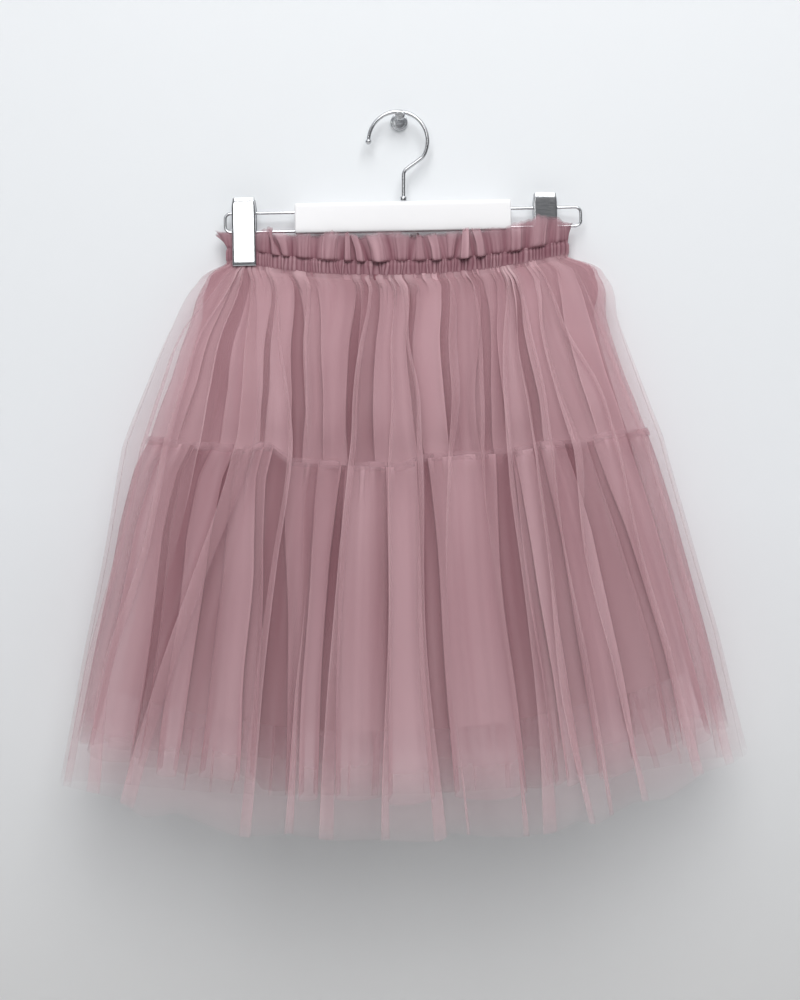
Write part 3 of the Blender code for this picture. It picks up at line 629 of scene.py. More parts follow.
def overlay(side, columns, rows):
    """Z-folded net from the waistband to the hem, with short gathers under the band. Its rise is a floor,
    plus the room for its folds times (1 + the folds + a fifth of the dents), plus the gathers."""
    front = side == "front"
    level = UNDER_BAND + (OVERLAY_END - UNDER_BAND) * (np.linspace(0.0, 1.0, rows) ** 1.35)[:, None]
    below = np.maximum(level, 0.0)
    folds = OVERLAY_FOLDS if front else turned_round(OVERLAY_FOLDS, 0.7)
    angle, wave, arc, panel = folded(level, side, folds, columns, 0.45, seed=10)
    shift, bulge = gathers(below, columns, 40 if front else 30, 3, 0.095)
    angle = np.clip(angle + 0.014 * shift * np.sin(angle), 0.0, math.pi)
    _, _, (floor, size) = room(level, angle, side)
    swell = np.sin(angle) ** 0.5
    outward = (4.6 if front else 1.2) * bulge * ramp(level, UNDER_BAND, UNDER_BAND + 0.05) ** 0.7 * swell
    dents = crumple(level, np.linspace(0.0, 1.0, columns), 71) * growth(level) * swell
    grid = cloth_grid(level, angle, floor + size * (1.0 + wave + 0.2 * dents) + outward, side, OVERLAY_INSET)
    if front:
        grid[..., 2] -= np.interp(-np.cos(angle), *HEM_TIPS.T) * ramp(level, 1.7, OVERLAY_END) ** 2
    margin = 0.08 * ramp(np.abs(np.cos(angle)), 0.88, 1.0) + 0.04 * ramp(level, 1.75, OVERLAY_END)
    extra = 0.25 * np.exp(-below / 0.06) - np.minimum(margin, 0.11)
    cover = thread_cover(arc, size * wave + outward, SHEER_COVER, extra) * soft_edge(level, OVERLAY_END)
    # Painted light and shade: crests of folds, dents and gathers lighter and their hollows darker, painted
    # shade just under the band, painted light on fold edges where the threads close up, and lighter towards
    # the hem
    tone = 0.22 * wave + 0.06 * dents + 0.12 * panel + 0.24 * (2 * bulge - 1) * np.exp(-below / 0.12)
    tone = tone - 0.08 * np.exp(-below / 0.08) + 0.8 * (cover - SHEER_COVER) + 0.30 * ramp(level, 1.75, 1.95)
    piece = add_surface("overlay_net_" + side, grid, sheer_tulle, inside_out=not front)
    keep_cloth(piece, grid, cover, tone, 51)
    finish_sheet(piece, "sheer_net", "overlay_" + side, measure(grid), "gathered", "band_casing_" + side)


overlay("front", 860, 90)
overlay("back", 420, 60)

# %% [markdown]
# ## The tiers
# Under the overlay are two tiers of a denser net. The upper one is gathered into the waist and falls in
# soft folds. The lower one is a longer strip, gathered on to the upper one, and it stands in broad tubes
# with valleys that the light shades and painted shade darkens further. Both stay further in at the sides
# than the overlay, which leaves the pale margin seen there.

# %% Tier folds
TIER_INSET = np.array((
    (0.00, 0.0, 0.0), (0.10, 5.0, 3.0), (0.30, 11.0, 6.0), (0.66, 15.0, 7.0), (1.00, 15.0, 6.0),
    (1.08, 7.0, 4.0), (1.25, 2.0, 2.0), (1.60, 2.0, 3.0), (2.00, 3.0, 6.0),
))


def stretched(folds, before, after):
    """Repeats the first and the last values of each row, up to one value for each of CHECK_LEVELS."""
    def fill(row):
        return row[:1] * before + row + row[-1:] * after

    return tuple((kind, fill(places), fill(widths)) for kind, places, widths in folds)


# Down to the seam at level 1
UPPER_TIER_FOLDS = stretched((
    (1, (-0.9, -0.9, -0.9, -0.9), (4, 5, 4, 3)),
    (-1, (-0.8, -0.77, -0.75, -0.74), (5, 7, 6, 4)),
    (0, (-0.68, -0.62, -0.58, -0.56), (2, 5, 5, 3)),
    (0, (-0.56, -0.47, -0.41, -0.39), (5, 13, 13, 8)),
    (-1, (-0.44, -0.35, -0.3, -0.28), (5, 6, 6, 4)),
    (0, (-0.22, -0.19, -0.19, -0.18), (3, 8, 8, 5)),
    (-1, (-0.11, -0.08, -0.07, -0.06), (5, 5, 5, 4)),
    (0, (0.06, 0.07, 0.1, 0.12), (6, 5, 4, 4)),
    (1, (0.2, 0.2, 0.21, 0.22), (5, 6, 6, 4)),
    (0, (0.42, 0.43, 0.4, 0.38), (4, 11, 14, 10)),
    (-1, (0.5, 0.49, 0.48, 0.47), (4, 4, 4, 3)),
    (0, (0.6, 0.6, 0.61, 0.59), (3, 7, 8, 6)),
    (1, (0.72, 0.7, 0.71, 0.72), (5, 6, 6, 5)),
    (-1, (0.83, 0.82, 0.82, 0.83), (5, 6, 5, 4)),
    (1, (0.92, 0.92, 0.92, 0.92), (3, 4, 4, 3)),
), 0, 3)
# From just above the seam
LOWER_TIER_FOLDS = stretched((
    (-1, (-0.93, -0.93, -0.93, -0.94, -0.95), (3, 3, 6, 6, 6)),
    (0, (-0.83, -0.83, -0.825, -0.815, -0.81), (3, 3, 5, 5, 5)),
    (-1, (-0.76, -0.76, -0.74, -0.73, -0.73), (3, 3, 6, 6, 6)),
    (0, (-0.66, -0.66, -0.64, -0.64, -0.65), (5, 7, 15, 17, 18)),
    (1, (-0.56, -0.555, -0.52, -0.51, -0.5), (0, 2, 7, 8, 9)),
    (0, (-0.455, -0.455, -0.425, -0.415, -0.41), (16, 18, 22, 25, 26)),
    (-1, (-0.3, -0.3, -0.3, -0.31, -0.31), (2, 3, 5, 6, 6)),
    (0, (-0.19, -0.19, -0.215, -0.235, -0.24), (3, 4, 9, 12, 13)),
    (-1, (-0.01, -0.01, -0.02, -0.04, -0.05), (3, 4, 6, 6, 7)),
    (0, (0.12, 0.12, 0.112, 0.11, 0.125), (8, 11, 16, 16, 14)),
    (0, (0.44, 0.435, 0.41, 0.41, 0.42), (17, 19, 23, 24, 23)),
    (-1, (0.505, 0.5, 0.49, 0.49, 0.5), (3, 4, 5, 6, 6)),
    (0, (0.58, 0.575, 0.565, 0.565, 0.575), (4, 6, 13, 13, 11)),
    (1, (0.68, 0.68, 0.69, 0.7, 0.7), (3, 4, 6, 6, 6)),
    (0, (0.79, 0.79, 0.815, 0.827, 0.83), (4, 5, 8, 8, 8)),
    (1, (0.92, 0.92, 0.915, 0.92, 0.93), (3, 3, 6, 6, 6)),
), 2, 0)
print("tier folds:", len(UPPER_TIER_FOLDS), "above the seam,", len(LOWER_TIER_FOLDS), "below it")

# %% Tiers
TIER_HEM_TIPS = np.array((
    (-1.00, -8.0), (-0.92, -2.0), (-0.85, -4.0), (-0.66, 0.0), (-0.56, -10.0), (-0.46, -8.0), (-0.43, 2.0),
    (-0.30, 4.0), (0.00, 5.0), (0.12, 4.0), (0.29, 8.0), (0.42, 9.0), (0.54, 6.0), (0.60, 9.0), (0.72, 1.0),
    (0.82, 3.0), (0.94, 1.0), (1.00, 3.0),
))
# Place across and how far the tier seam is drawn up there, in millimetres
SEAM_LIFT = np.array((
    (-1.00, 5.0), (-0.62, 6.0), (-0.56, 10.0), (-0.50, 9.0), (-0.42, -2.0), (-0.20, -4.0), (0.02, -6.0),
    (0.12, 1.0), (0.30, 3.0), (0.45, 1.0), (0.60, 5.0), (0.78, 3.0), (0.86, 6.0), (1.00, 5.0),
))


def seam_lift(level, angle):
    """How far the net is drawn up by the uneven seam: a wide bell round the seam's level."""
    return np.interp(-np.cos(angle), *SEAM_LIFT.T) * np.exp(-(((level - 1.0) / 0.3) ** 2))


def seam_hold(level):
    """The stitches hold the folds down near the seam: 1 minus 0.75 times a narrow bell."""
    return 1.0 - 0.75 * np.exp(-(((level - 1.0) / 0.12) ** 2))


# Level of the first and of the last row, rows, folds, seed, cover of the flat net, and bulge of the panels
TIERS = {
    "upper": (UNDER_BAND, 1.0, 50, UPPER_TIER_FOLDS, 21, 0.50, 0.5),
    "lower": (1.0, TIER_END, 64, LOWER_TIER_FOLDS, 33, 0.47, 0.75),
}


def tier(part, side, columns, gather_count):
    """A tier of net: broad folds, and gathers that start at the seam it hangs from."""
    front, lower = side == "front", part == "lower"
    start, end, rows, folds, seed, base, puff = TIERS[part]
    level = (start + (end - start) * np.linspace(0.0, 1.0, rows) ** 1.2)[:, None]
    folds = folds if front else turned_round(folds, 0.6)
    angle, wave, arc, panel = folded(level, side, folds, columns, puff, seed=seed, depth=0.9)
    below = np.maximum(level - max(start, 0.0), 0.0)
    shift, bulge = gathers(below, columns, gather_count, seed, 0.042)
    angle = np.clip(angle + 0.009 * shift * np.sin(angle), 0.0, math.pi)
    _, (floor, size), _ = room(level, angle, side)
    held = size * seam_hold(level)
    outward = (2.6 if front else 0.9) * bulge * np.sin(angle) ** 0.5
    dents = crumple(level, np.linspace(0.0, 1.0, columns), seed + 60)
    grid = cloth_grid(level, angle, floor + held * (1.0 + wave + 0.12 * dents) + outward, side, TIER_INSET)
    grid[..., 2] += seam_lift(level, angle)
    if lower:
        grid[..., 2] -= 4.0 * wave * ramp(level, 1.6, TIER_END)
    if lower and front:
        grid[..., 2] -= np.interp(-np.cos(angle), *TIER_HEM_TIPS.T) * ramp(level, 1.6, TIER_END) ** 2
    near_side = np.abs(np.cos(angle))
    thinner = 0.07 * ramp(level, 1.5, 1.88) ** 1.5 if lower else 0.12 * ramp(near_side, 0.7, 1.0)
    cover = thread_cover(arc, held * wave + outward, base, 0.2 * np.exp(-below / 0.03) - thinner)
    # The tone paints shade in the valleys and light on the crests and gathers; the upper tier is also lighter
    # towards the side seams
    if lower:
        cover = cover * soft_edge(level, TIER_END, 0.09)
        tone = np.where(wave > 0.0, 0.42, 0.54) * wave - 0.05
    else:
        tone = 0.50 * wave + 0.34 * ramp(near_side, 0.5, 1.0)
    tone = tone + 0.10 * panel + 0.22 * (2 * bulge - 1) * np.exp(-below / 0.08)
    piece = add_surface(f"{part}_tier_net_{side}", grid, tier_tulle, inside_out=not front)
    keep_cloth(piece, grid, cover, tone, 52)
    holder = "upper_tier_net_" if lower else "band_casing_"
    finish_sheet(piece, "tier_net", f"{part}_tier_{side}", measure(grid), "gathered", holder + side)


for side, columns, gather_count in (("front", 640, 54), ("back", 320, 36)):
    tier("upper", side, columns, gather_count)
    tier("lower", side, columns + 60, gather_count)

# %% [markdown]
# The turned allowance of the tier seam lies on the outside as a narrow tape, and shows as a paler line
# through the overlay.

# %% Seam tape


def seam_tape(side, columns):
    """Narrow folded strip along the lower tier's top edge, a little further out. Valleys fade it."""
    start, end = 0.977, 1.012
    level = np.linspace(start, end, 7)[:, None]
    edges_fade = np.array((0.4, 0.9, 1.0, 1.0, 1.0, 0.8, 0.3))[:, None]
    folds = LOWER_TIER_FOLDS if side == "front" else turned_round(LOWER_TIER_FOLDS, 0.6)
    on_seam = np.maximum(level, 1.0)
    angle, wave, _, _ = folded(on_seam, side, folds, columns, 0.75, seed=33, smooth=4, depth=0.5)
    _, (floor, size), _ = room(level, angle, side)
    share = np.linspace(0.0, 1.0, columns)
    ripple = 0.5 * np.sin(2 * math.pi * 47 * share + 3 * np.sin(9 * share)) * ramp(level, start, end)
    rise = floor + size * seam_hold(level) * (1.0 + wave) + GAP + WALL + ripple + 0.5
    grid = cloth_grid(level, angle, rise, side, TIER_INSET)
    uneven_stitch = 0.8 * np.sin(2 * math.pi * 9 * share) + 0.5 * np.sin(2 * math.pi * 31 * share)
    grid[..., 2] += seam_lift(level, angle) + uneven_stitch
    piece = add_surface("seam_tape_net_" + side, grid, gathered_tulle, inside_out=side == "back")
    patchy = 0.5 + 0.5 * np.clip(crumple(level, share, 77), -1.0, 1.0)
    cover = (0.26 + 0.40 * patchy) * np.clip(0.75 + wave, 0.15, 1.0) * edges_fade
    # Painted shade in the valleys and painted light on the crests, with random patches
    keep_cloth(piece, grid, cover, 0.35 * wave + 0.12 * patchy, 53)
    flat = (measure(grid)[0], 0.0102)
    finish_sheet(piece, "gathered_net", "tier_seam_tape_" + side, flat, "stretched", "lower_tier_net_" + side)


seam_tape("front", 500)
seam_tape("back", 260)

# %% [markdown]
# ## The lining
# A plain tube of satin with a few shallow folds and a straight hem, close behind the tiers. It is the only
# layer that the eye can't see through.

# %% Lining
LINING_INSET = np.array((
    (0.0, 0.0, 0.0), (0.3, 18.0, 14.0), (1.0, 26.0, 17.0), (1.73, 24.0, 24.0), (2.0, 26.0, 28.0),
))


def lining(side, columns):
    """Four shallow waves in the front and in the back, cos squared of the share of the way across."""
    level = (LINING_END * np.linspace(0.0, 1.0, 50) ** 1.1)[:, None]
    dense, length = arc_tables(level, side)
    share = np.linspace(0.0, 1.0, columns)
    angle = np.array([np.interp(share * row[-1], row, dense) for row in length])
    angle[:, 0], angle[:, -1] = 0.0, math.pi
    (floor, size), _, _ = room(level, angle, side)
    wave = np.cos(math.pi * (4 * share - 0.5) + 0.4 * np.sin(3 * level)) ** 2
    fine = np.sin(2 * math.pi * 37 * share) * np.exp(-level / 0.08)
    grid = cloth_grid(level, angle, floor + 2 * size * wave + 0.3 * fine * np.sin(angle), side, LINING_INSET)
    piece = add_surface("lining_satin_" + side, grid, lining_satin, inside_out=side == "back")
    keep_values(piece, "tone", np.broadcast_to(ramp(level, 1.35, LINING_END) ** 1.5, grid.shape[:2]))
    finish_sheet(piece, "lining_satin", "lining_" + side, measure(grid), "hung", "band_casing_" + side)


lining("front", 240)
lining("back", 160)

# %% [markdown]
# ## The waistband
# The casing is a folded strip of net round an elastic. Let go, the elastic draws the net into fine upright
# ribs, about 3.5 mm apart, with a hollow between two of them that the light shades and painted shade
# darkens further. The strip is one closed loop of cloth, seen in section: down the outer face, round the
# bottom, up the inner face and over the top.

# %% Waistband
CLIP_PLACES = {"front": (-0.906,), "back": (-0.906, 0.85)}
CLIP_HALF_WIDTH = 0.082


def held_flat(place, side):
    """1 under the clips that grip this side, 0 elsewhere: a bell with a flat top."""
    return sum(np.exp(-(((place - spot) / CLIP_HALF_WIDTH) ** 10)) for spot in CLIP_PLACES[side])


def waist_angle(share, side):
    """Angle round the waist for shares of the way across, which are even in length of cloth."""
    dense, length = arc_tables(np.zeros((1, 1)), side)
    angle = np.interp(share * length[0, -1], length[0], dense)
    return np.where(share <= 0.0, 0.0, np.where(share >= 1.0, math.pi, angle))


def waist_grid(side, share, rise, z_of):
    """Points round the waist for shares of the way across, with a row of rises and heights for each."""
    angle = waist_angle(share, side)
    x, y, out_x, out_y = oval(np.zeros_like(angle), angle, side)
    x, y = x + rise * out_x, y + rise * out_y
    return np.stack(np.broadcast_arrays(x, y, z_of + x * LEAN), axis=-1)


def waistband(side, columns, ribs):
    """Ribs: a rounded saw of uneven pitch, pinched at the stitch lines near both edges."""
    draw = np.random.default_rng(7)
    share = np.linspace(0.0, 1.0, columns)[None, :]
    phase, number = uneven(share, np.random.default_rng(8).uniform(0.5, 1.5, ribs))
    tall = draw.uniform(0.35, 1.0, ribs)[number]
    turn = np.linspace(0.0, 2 * math.pi, 33)[:-1, None]
    part, outer = 0.5 - 0.5 * np.cos(turn), np.sin(turn)
    place = -np.cos(waist_angle(share, side))
    top, bottom = line_z(BAND_TOP, place, side), line_z(BAND_BOTTOM, place, side)
    stitched = np.exp(-(((part - 0.14) / 0.05) ** 2)) + np.exp(-(((part - 0.86) / 0.05) ** 2))
    rib = np.abs(np.sin(math.pi * phase)) ** 0.7 * tall * (1 - held_flat(place, side))
    rise = 2.2 + 1.9 * np.sign(outer) * np.abs(outer) ** 0.45
    rise = rise + np.maximum(outer, 0.0) ** 0.3 * ((2.0 - 1.0 * stitched) * rib - 0.5 - 0.5 * stitched)
    bend = softened(draw.normal(size=(2, columns)), 60)
    bend = bend / bend.std(axis=1, keepdims=True)
    bend = bend[:1] * np.sin(math.pi * part) + bend[1:] * np.sin(2 * math.pi * part)
    along = np.clip(share + 0.0011 * bend * np.sin(math.pi * share), 0.0, 1.0)
    z = top + (bottom - top) * part + 0.5 * rib * np.cos(turn)
    grid = waist_grid(side, along, rise, z).swapaxes(0, 1)
    piece = add_surface("band_casing_" + side, grid, gathered_tulle, closed=True, inside_out=side == "front")
    rib = np.broadcast_to(rib, rise.shape).T
    # Painted light on the ribs and painted shade in the hollows between them
    keep_cloth(piece, grid, 0.98 - 0.14 * rib, 0.66 * rib - 0.46, 54)
    finish_sheet(piece, "gathered_net", "waistband_" + side, (measure(grid)[1], 0.0195), "gathered")


waistband("front", 1200, 96)
waistband("back", 700, 76)

# %% [markdown]
# ## The frill
# Above the casing the net stands up in a soft heading. At its foot it has the same fine gathers as the band,
# and towards its top edge they open into fewer, wider curls that lap over each other, like a ruffle.

# %% Frill
FRILL_TOP = np.array((
    (-1.00, -101.0), (-0.94, -103.0), (-0.86, -103.0), (-0.76, -99.0), (-0.70, -103.5), (-0.50, -105.0),
    (0.00, -107.0), (0.50, -105.5), (0.62, -102.5), (0.74, -97.5), (0.84, -92.5), (0.90, -92.5),
    (0.96, -94.5), (1.00, -100.0),
))


def frill(side, columns, ruffles):
    """Ruffle curve: along = share + sin(2 phase), out = a lobe of the phase. A lobe fills out soon above
    the foot and hangs a little over the band there, like a small pillow that draws in again towards its top
    edge. Each lobe leans its own way, and carries finer gathers from the foot."""
    draw = np.random.default_rng(17)
    share = np.linspace(0.0, 1.0, columns)[None, :]
    phase, number = uneven(share, np.random.default_rng(23).uniform(0.45, 1.6, ruffles))
    fine_phase, fine_number = uneven(share, np.random.default_rng(24).uniform(0.5, 1.5, 4 * ruffles))
    edges = np.arange(ruffles + 1)
    curl = draw.uniform(0.4, 1.0, ruffles)[number] * np.sin(math.pi * share) ** 0.2
    lift, lean = (np.interp(phase, edges, draw.normal(0.0, 1.0, ruffles + 1)) for _ in range(2))
    frayed = softened(draw.normal(size=(1, columns)), 12)
    fine_height = draw.uniform(0.2, 1.0, 4 * ruffles)[fine_number]
    up = np.linspace(0.0, 1.0, 30)[:, None]
    place = -np.cos(waist_angle(share, side))
    free = 1 - held_flat(place, side)
    ends = np.where(place < 0, 12.0, 5.0) * ramp(np.abs(place), 0.975, 1.0)
    turned_over = 0.15 * curl * np.sin(4 * math.pi * phase) * np.sqrt(up) + 0.40 * lean * up**1.3
    along = share + turned_over / ruffles * free * np.sin(math.pi * share) ** 0.3
    wave = np.abs(np.sin(math.pi * phase)) ** 0.75
    fine = fine_height * np.abs(np.sin(math.pi * fine_phase)) * (1 - 0.75 * up)
    fill = np.sin(math.pi * up**0.7) ** 0.7 + 0.25 * up**3
    most = 8.5 if side == "front" else 4.5
    rise = 2.4 + free * (1.5 * fine + fill * (0.6 + most * curl * wave) + up**1.5 * ends)
    foot = line_z(BAND_TOP, place, side) - 1.0
    ragged = 1.3 * lift + 1.6 * wave - 0.4 + 0.6 * frayed / frayed.std()
    top = np.interp(place, *FRILL_TOP.T) + free * ragged
    droop = 6.5 * curl * wave * np.exp(-(((up - 0.20) / 0.15) ** 2)) * free
    grid = waist_grid(side, np.clip(along, 0.0, 1.0), rise, foot + (top - foot) * up - droop)[::-1]
    piece = add_surface("heading_frill_" + side, grid, gathered_tulle, inside_out=side == "back")
    cover = (0.95 - 0.35 * up**1.5 + 0.15 * (1 - wave)) * (1.0 - 0.65 * ramp(up, 0.86, 1.0))
    # Painted light on the curls, the fine gathers and towards the top edge, and painted shade at the foot and
    # between the curls
    tone = 0.66 * wave * curl * np.clip(up / 0.25, 0.3, 1.0) + 0.25 * fine + 0.22 * up - 0.50
    keep_cloth(piece, grid, cover[::-1], tone[::-1], 55)
    casing = "band_casing_" + side
    finish_sheet(piece, "gathered_net", "waist_frill_" + side, measure(grid), "gathered", casing)


frill("front", 1000, 19)
frill("back", 560, 14)

# %% [markdown]
# ## Hook, bar, loops and clips
# The hanger is bent wire and a lacquered bar. A wire is a circle carried along its path: at each point of
# the path two directions, one in the plane of the bend and one across it, place the ring.

# %% Wire along a path
HANGER_Y = -16.0
BAR_MIDDLE = np.array((3.6, 0.0, -89.6))


def smooth_path(points, count, passes=0):
    """Even spacing along a path of (x, z) points, then rounding by averaging with the neighbours."""
    points = np.array(points, float)
    length = np.concatenate(([0.0], np.cumsum(np.hypot(*np.diff(points, axis=0).T))))
    even = np.linspace(0.0, length[-1], count)
    path = np.stack([np.interp(even, length, points[:, k]) for k in (0, 1)], axis=-1)
    for _ in range(passes):
        path[1:-1] = (path[:-2] + 2 * path[1:-1] + path[2:]) / 4
    return path


def carried_ring(name, path, radius, sides):
    """Tube: point = path + radius (cos a times the in-plane normal + sin a times Y), with capped ends."""
    radius = np.broadcast_to(radius, len(path)).astype(float)
    path = np.concatenate((path[:1], path, path[-1:]))
    radius = np.concatenate(([0.01], radius, [0.01]))
    step = np.gradient(path[1:-1], axis=0)
    step = np.concatenate((step[:1], step, step[-1:]))
    normal = np.stack((-step[:, 1], step[:, 0]), axis=-1) / np.hypot(*step.T)[:, None]
    turn = np.linspace(0.0, 2 * math.pi, sides + 1)[:-1]
    x = path[:, :1] + radius[:, None] * np.cos(turn) * normal[:, :1]
    z = path[:, 1:] + radius[:, None] * np.cos(turn) * normal[:, 1:]
    y = HANGER_Y + radius[:, None] * np.sin(turn) + 0 * x
    return add_surface(name, np.stack((x, y, z), axis=-1), chrome, closed=True, capped=True)


def leaned(grid):
    """From the bar's own place to the skirt's frame: a small turn about Y, then the bar's middle."""
    x, y, z = grid[..., 0], grid[..., 1], grid[..., 2]
    cos, sin = math.cos(LEAN_ANGLE), math.sin(LEAN_ANGLE)
    return np.stack((x * cos - z * sin, y, x * sin + z * cos), axis=-1) + BAR_MIDDLE


print("hanger plane y =", HANGER_Y, "mm")

# %% Hook wire
HOOK_CENTRE, HOOK_RADIUS, STEM_X, STEM_FOOT = (-0.9, -19.8), 27.1, 4.1, -75.6
turn = np.radians(np.linspace(176.0, -34.0, 90))
bend = np.stack((np.cos(turn), np.sin(turn)), axis=-1) * HOOK_RADIUS + HOOK_CENTRE
x, z = bend[-1] - (11.0, 8.0)
stem = [(x, z), (STEM_X + 1.6, z - 3.6), (STEM_X, z - 7.0), (STEM_X, STEM_FOOT)]
hook_path = smooth_path(np.concatenate((bend, stem)), 260, 5)
hook_wire = carried_ring("hanger_hook_wire", hook_path, 1.85, 24)
finish_piece(hook_wire, "chrome_plated_steel", "hanger_hook")
BALL_RADIUS = 2.9
turn = np.linspace(0.0, math.pi, 18)
tip_path = np.stack((np.full(18, bend[0, 0] - 0.2), bend[0, 1] - 2.4 + BALL_RADIUS * np.cos(turn)), axis=-1)
tip = carried_ring("hanger_hook_ball", tip_path, np.maximum(BALL_RADIUS * np.sin(turn), 0.02), 24)
finish_piece(tip, "chrome_plated_steel")
collar_path = np.array([(STEM_X, z) for z in (-70.5, -71.0, -71.6, -74.6, -75.2, STEM_FOOT)])
collar = carried_ring("hanger_swivel_collar", collar_path, np.array((2.0, 2.9, 3.2, 3.2, 3.0, 2.4)), 24)
finish_piece(collar, "chrome_plated_steel")
print("hook wire", len(hook_path), "rings")

# %% [markdown]
# The bar is a rounded box: its cross-section is a superellipse, and its ends close over a short round-off.
# The wire loops leave it at both ends, and the clips hang on them.

# %% Bar
HALF_DEPTH, HALF_HEIGHT = 6.0, 13.8
turn = np.linspace(0.0, 2 * math.pi, 97)[:-1]
rounded_y, rounded_z = (np.sign(value) * np.abs(value) ** 0.22 for value in (np.cos(turn), np.sin(turn)))
inward = np.array((6.0, 1.2, 0.5, 0.1, 0.0, 0.0, 0.1, 0.5, 1.2, 6.0))
bar_x = np.array((-99.35, -99.35, -99.1, -98.6, -97.8, 97.8, 98.6, 99.1, 99.35, 99.35))
bar_y = HANGER_Y + (HALF_DEPTH - np.minimum(inward, HALF_DEPTH - 0.1))[:, None] * rounded_y
bar_z = (HALF_HEIGHT - inward)[:, None] * rounded_z
bar_grid = leaned(np.stack(np.broadcast_arrays(bar_x[:, None], bar_y, bar_z), axis=-1))
bar = add_surface("hanger_bar_lacquered", bar_grid, lacquer, closed=True, inside_out=True, capped=True)
finish_piece(bar, "white_lacquer", "hanger_bar")
print("bar", round(float(np.ptp(bar_grid[..., 0])), 1), "mm wide")

# %% Wire loops
LOOP_START, CORNER_X, UPPER_Z, LOWER_Z, BEND_RADIUS = 98.0, 158.6, 0.9, -6.4, 5.0
turn = np.radians(np.linspace(90.0, 0.0, 9))
bend = BEND_RADIUS * np.stack((np.cos(turn), np.sin(turn)), axis=-1)
upper, lower = bend + (CORNER_X, UPPER_Z), bend[::-1] * (1.0, -1.0) + (CORNER_X, LOWER_Z)
ends = [(LOOP_START, UPPER_Z + BEND_RADIUS)], [(LOOP_START, LOWER_Z - BEND_RADIUS)]
for name, sign in (("left", -1), ("right", 1)):
    points = np.concatenate((ends[0], upper, lower, ends[1])) * (sign, 1.0)
    loop = carried_ring("hanger_loop_" + name, smooth_path(points, 150), 1.4, 16)
    flat = np.empty(len(loop.data.vertices) * 3)
    loop.data.vertices.foreach_get("co", flat)
    loop.data.vertices.foreach_set("co", (leaned(flat.reshape(-1, 3) / MM) * MM).ravel())
    loop.data.update()
    finish_piece(loop, "chrome_plated_steel", "wire_loop_" + name)
print("loops reach", CORNER_X + BEND_RADIUS, "mm from the bar's middle")

# %% [markdown]
# A clip is two jaws stamped from sheet steel with turned-in sides, pressed together by a spring at the top.
# Each jaw is a bent surface that Solidify turns into sheet, and its lower end is bent in towards the cloth.

# %% Clips
JAW_HALF_WIDTH, JAW_TOP, JAW_FOOT, BACK_JAW_Y = 11.3, 19.3, -43.2, -7.8


def jaw(name, middle, profile, facing, slant=0.0):
    """Stamped plate: y and z follow the profile down the jaw, the sides turn back by |u| to a high power,
    and the slant turns the face a few degrees to one side."""
    across = np.linspace(-1.0, 1.0, 33)[None, :]
    profile = np.array(profile, float)
    down = np.linspace(0.0, 1.0, 49)
    length = np.concatenate(([0.0], np.cumsum(np.hypot(*np.diff(profile, axis=0).T))))
    y, z = (softened(np.interp(down * length[-1], length, row)[None, :], 3).T for row in profile.T)
    side = np.abs(across) ** 26
    x = middle + JAW_HALF_WIDTH * np.sign(across) * np.abs(across) ** 0.96
    taper = 1.0 - 0.10 * np.exp(-((down[:, None] / 0.08) ** 2))
    y = y - facing * (2.6 * side - slant * 0.06 * (x - middle))
    grid = leaned(np.stack(np.broadcast_arrays(middle + (x - middle) * taper, y, z), axis=-1))
    piece = add_surface(name, grid, chrome, inside_out=facing > 0)
    wall = piece.modifiers.new("sheet", "SOLIDIFY")
    wall.thickness = 0.9 * MM
    wall.offset = -1.0
    edge = piece.modifiers.new("edges", "BEVEL")
    edge.width = 0.25 * MM
    edge.segments = 2
    return piece


def coil(name, middle, y, z, radius):
    """Spring: a ring carried along a helix of five turns, whose axis runs along the bar."""
    turns, length, wire_radius = 5.0, 15.0, 0.8
    along = np.linspace(0.0, 1.0, 120)[:, None]
    angle = 2 * math.pi * turns * along
    ring = np.linspace(0.0, 2 * math.pi, 11)[:-1][None, :]
    reach = radius + wire_radius * np.cos(ring)
    x = middle + length * (along - 0.5) + wire_radius * np.sin(ring)
    grid = np.stack((x, y + reach * np.cos(angle), z + reach * np.sin(angle)), axis=-1)
    return add_surface(name, leaned(grid), chrome, closed=True, capped=True)


for name, middle, front_y, low_y in (("left", -146.0, -25.8, -25.8), ("right", 131.0, -19.3, -16.7)):
    front_profile = [
        (front_y + 0.6, JAW_TOP), (front_y, 17.0), (front_y, -13.0),
        (low_y, -17.0), (low_y, -41.0), (low_y + 0.5, JAW_FOOT),
    ]
    back_profile = [(-8.4, JAW_TOP), (BACK_JAW_Y, 17.0), (BACK_JAW_Y, -41.0), (-8.3, JAW_FOOT)]
    front = jaw("clip_front_jaw_" + name, middle, front_profile, -1.0, 1.0 if name == "left" else -1.0)
    back = jaw("clip_back_jaw_" + name, middle, back_profile, 1.0)
    spring_y, half_gap = (front_y + BACK_JAW_Y) / 2, (BACK_JAW_Y - front_y) / 2
    spring = coil("clip_spring_" + name, middle, spring_y, 1.2, min(2.6, half_gap - 2.2))
    finish_piece(front, "chrome_plated_steel", "clip_" + name)
    finish_piece(back, "chrome_plated_steel")
    finish_piece(spring, "chrome_plated_steel")
    print("clip", name, "spring at y", round(spring_y, 1))

# %% [markdown]
# ## Wall hook
# A small turned disc with a headed peg. Both are solids of revolution: a profile of (distance from the
# wall, radius) carried round the Y axis.

# %% Wall hook


def turned_piece(name, profile, centre, sides):
    """Point = centre + radius (cos a, 0, sin a) - distance along Y."""
    profile = np.array(profile, float)
    turn = np.linspace(0.0, 2 * math.pi, sides + 1)[:-1]
    x = centre[0] + profile[:, 1:] * np.cos(turn)
    z = centre[1] + profile[:, 1:] * np.sin(turn)
    y = -profile[:, :1] + 0 * x
    return add_surface(name, np.stack((x, y, z), axis=-1), chrome, inside_out=True, closed=True, capped=True)


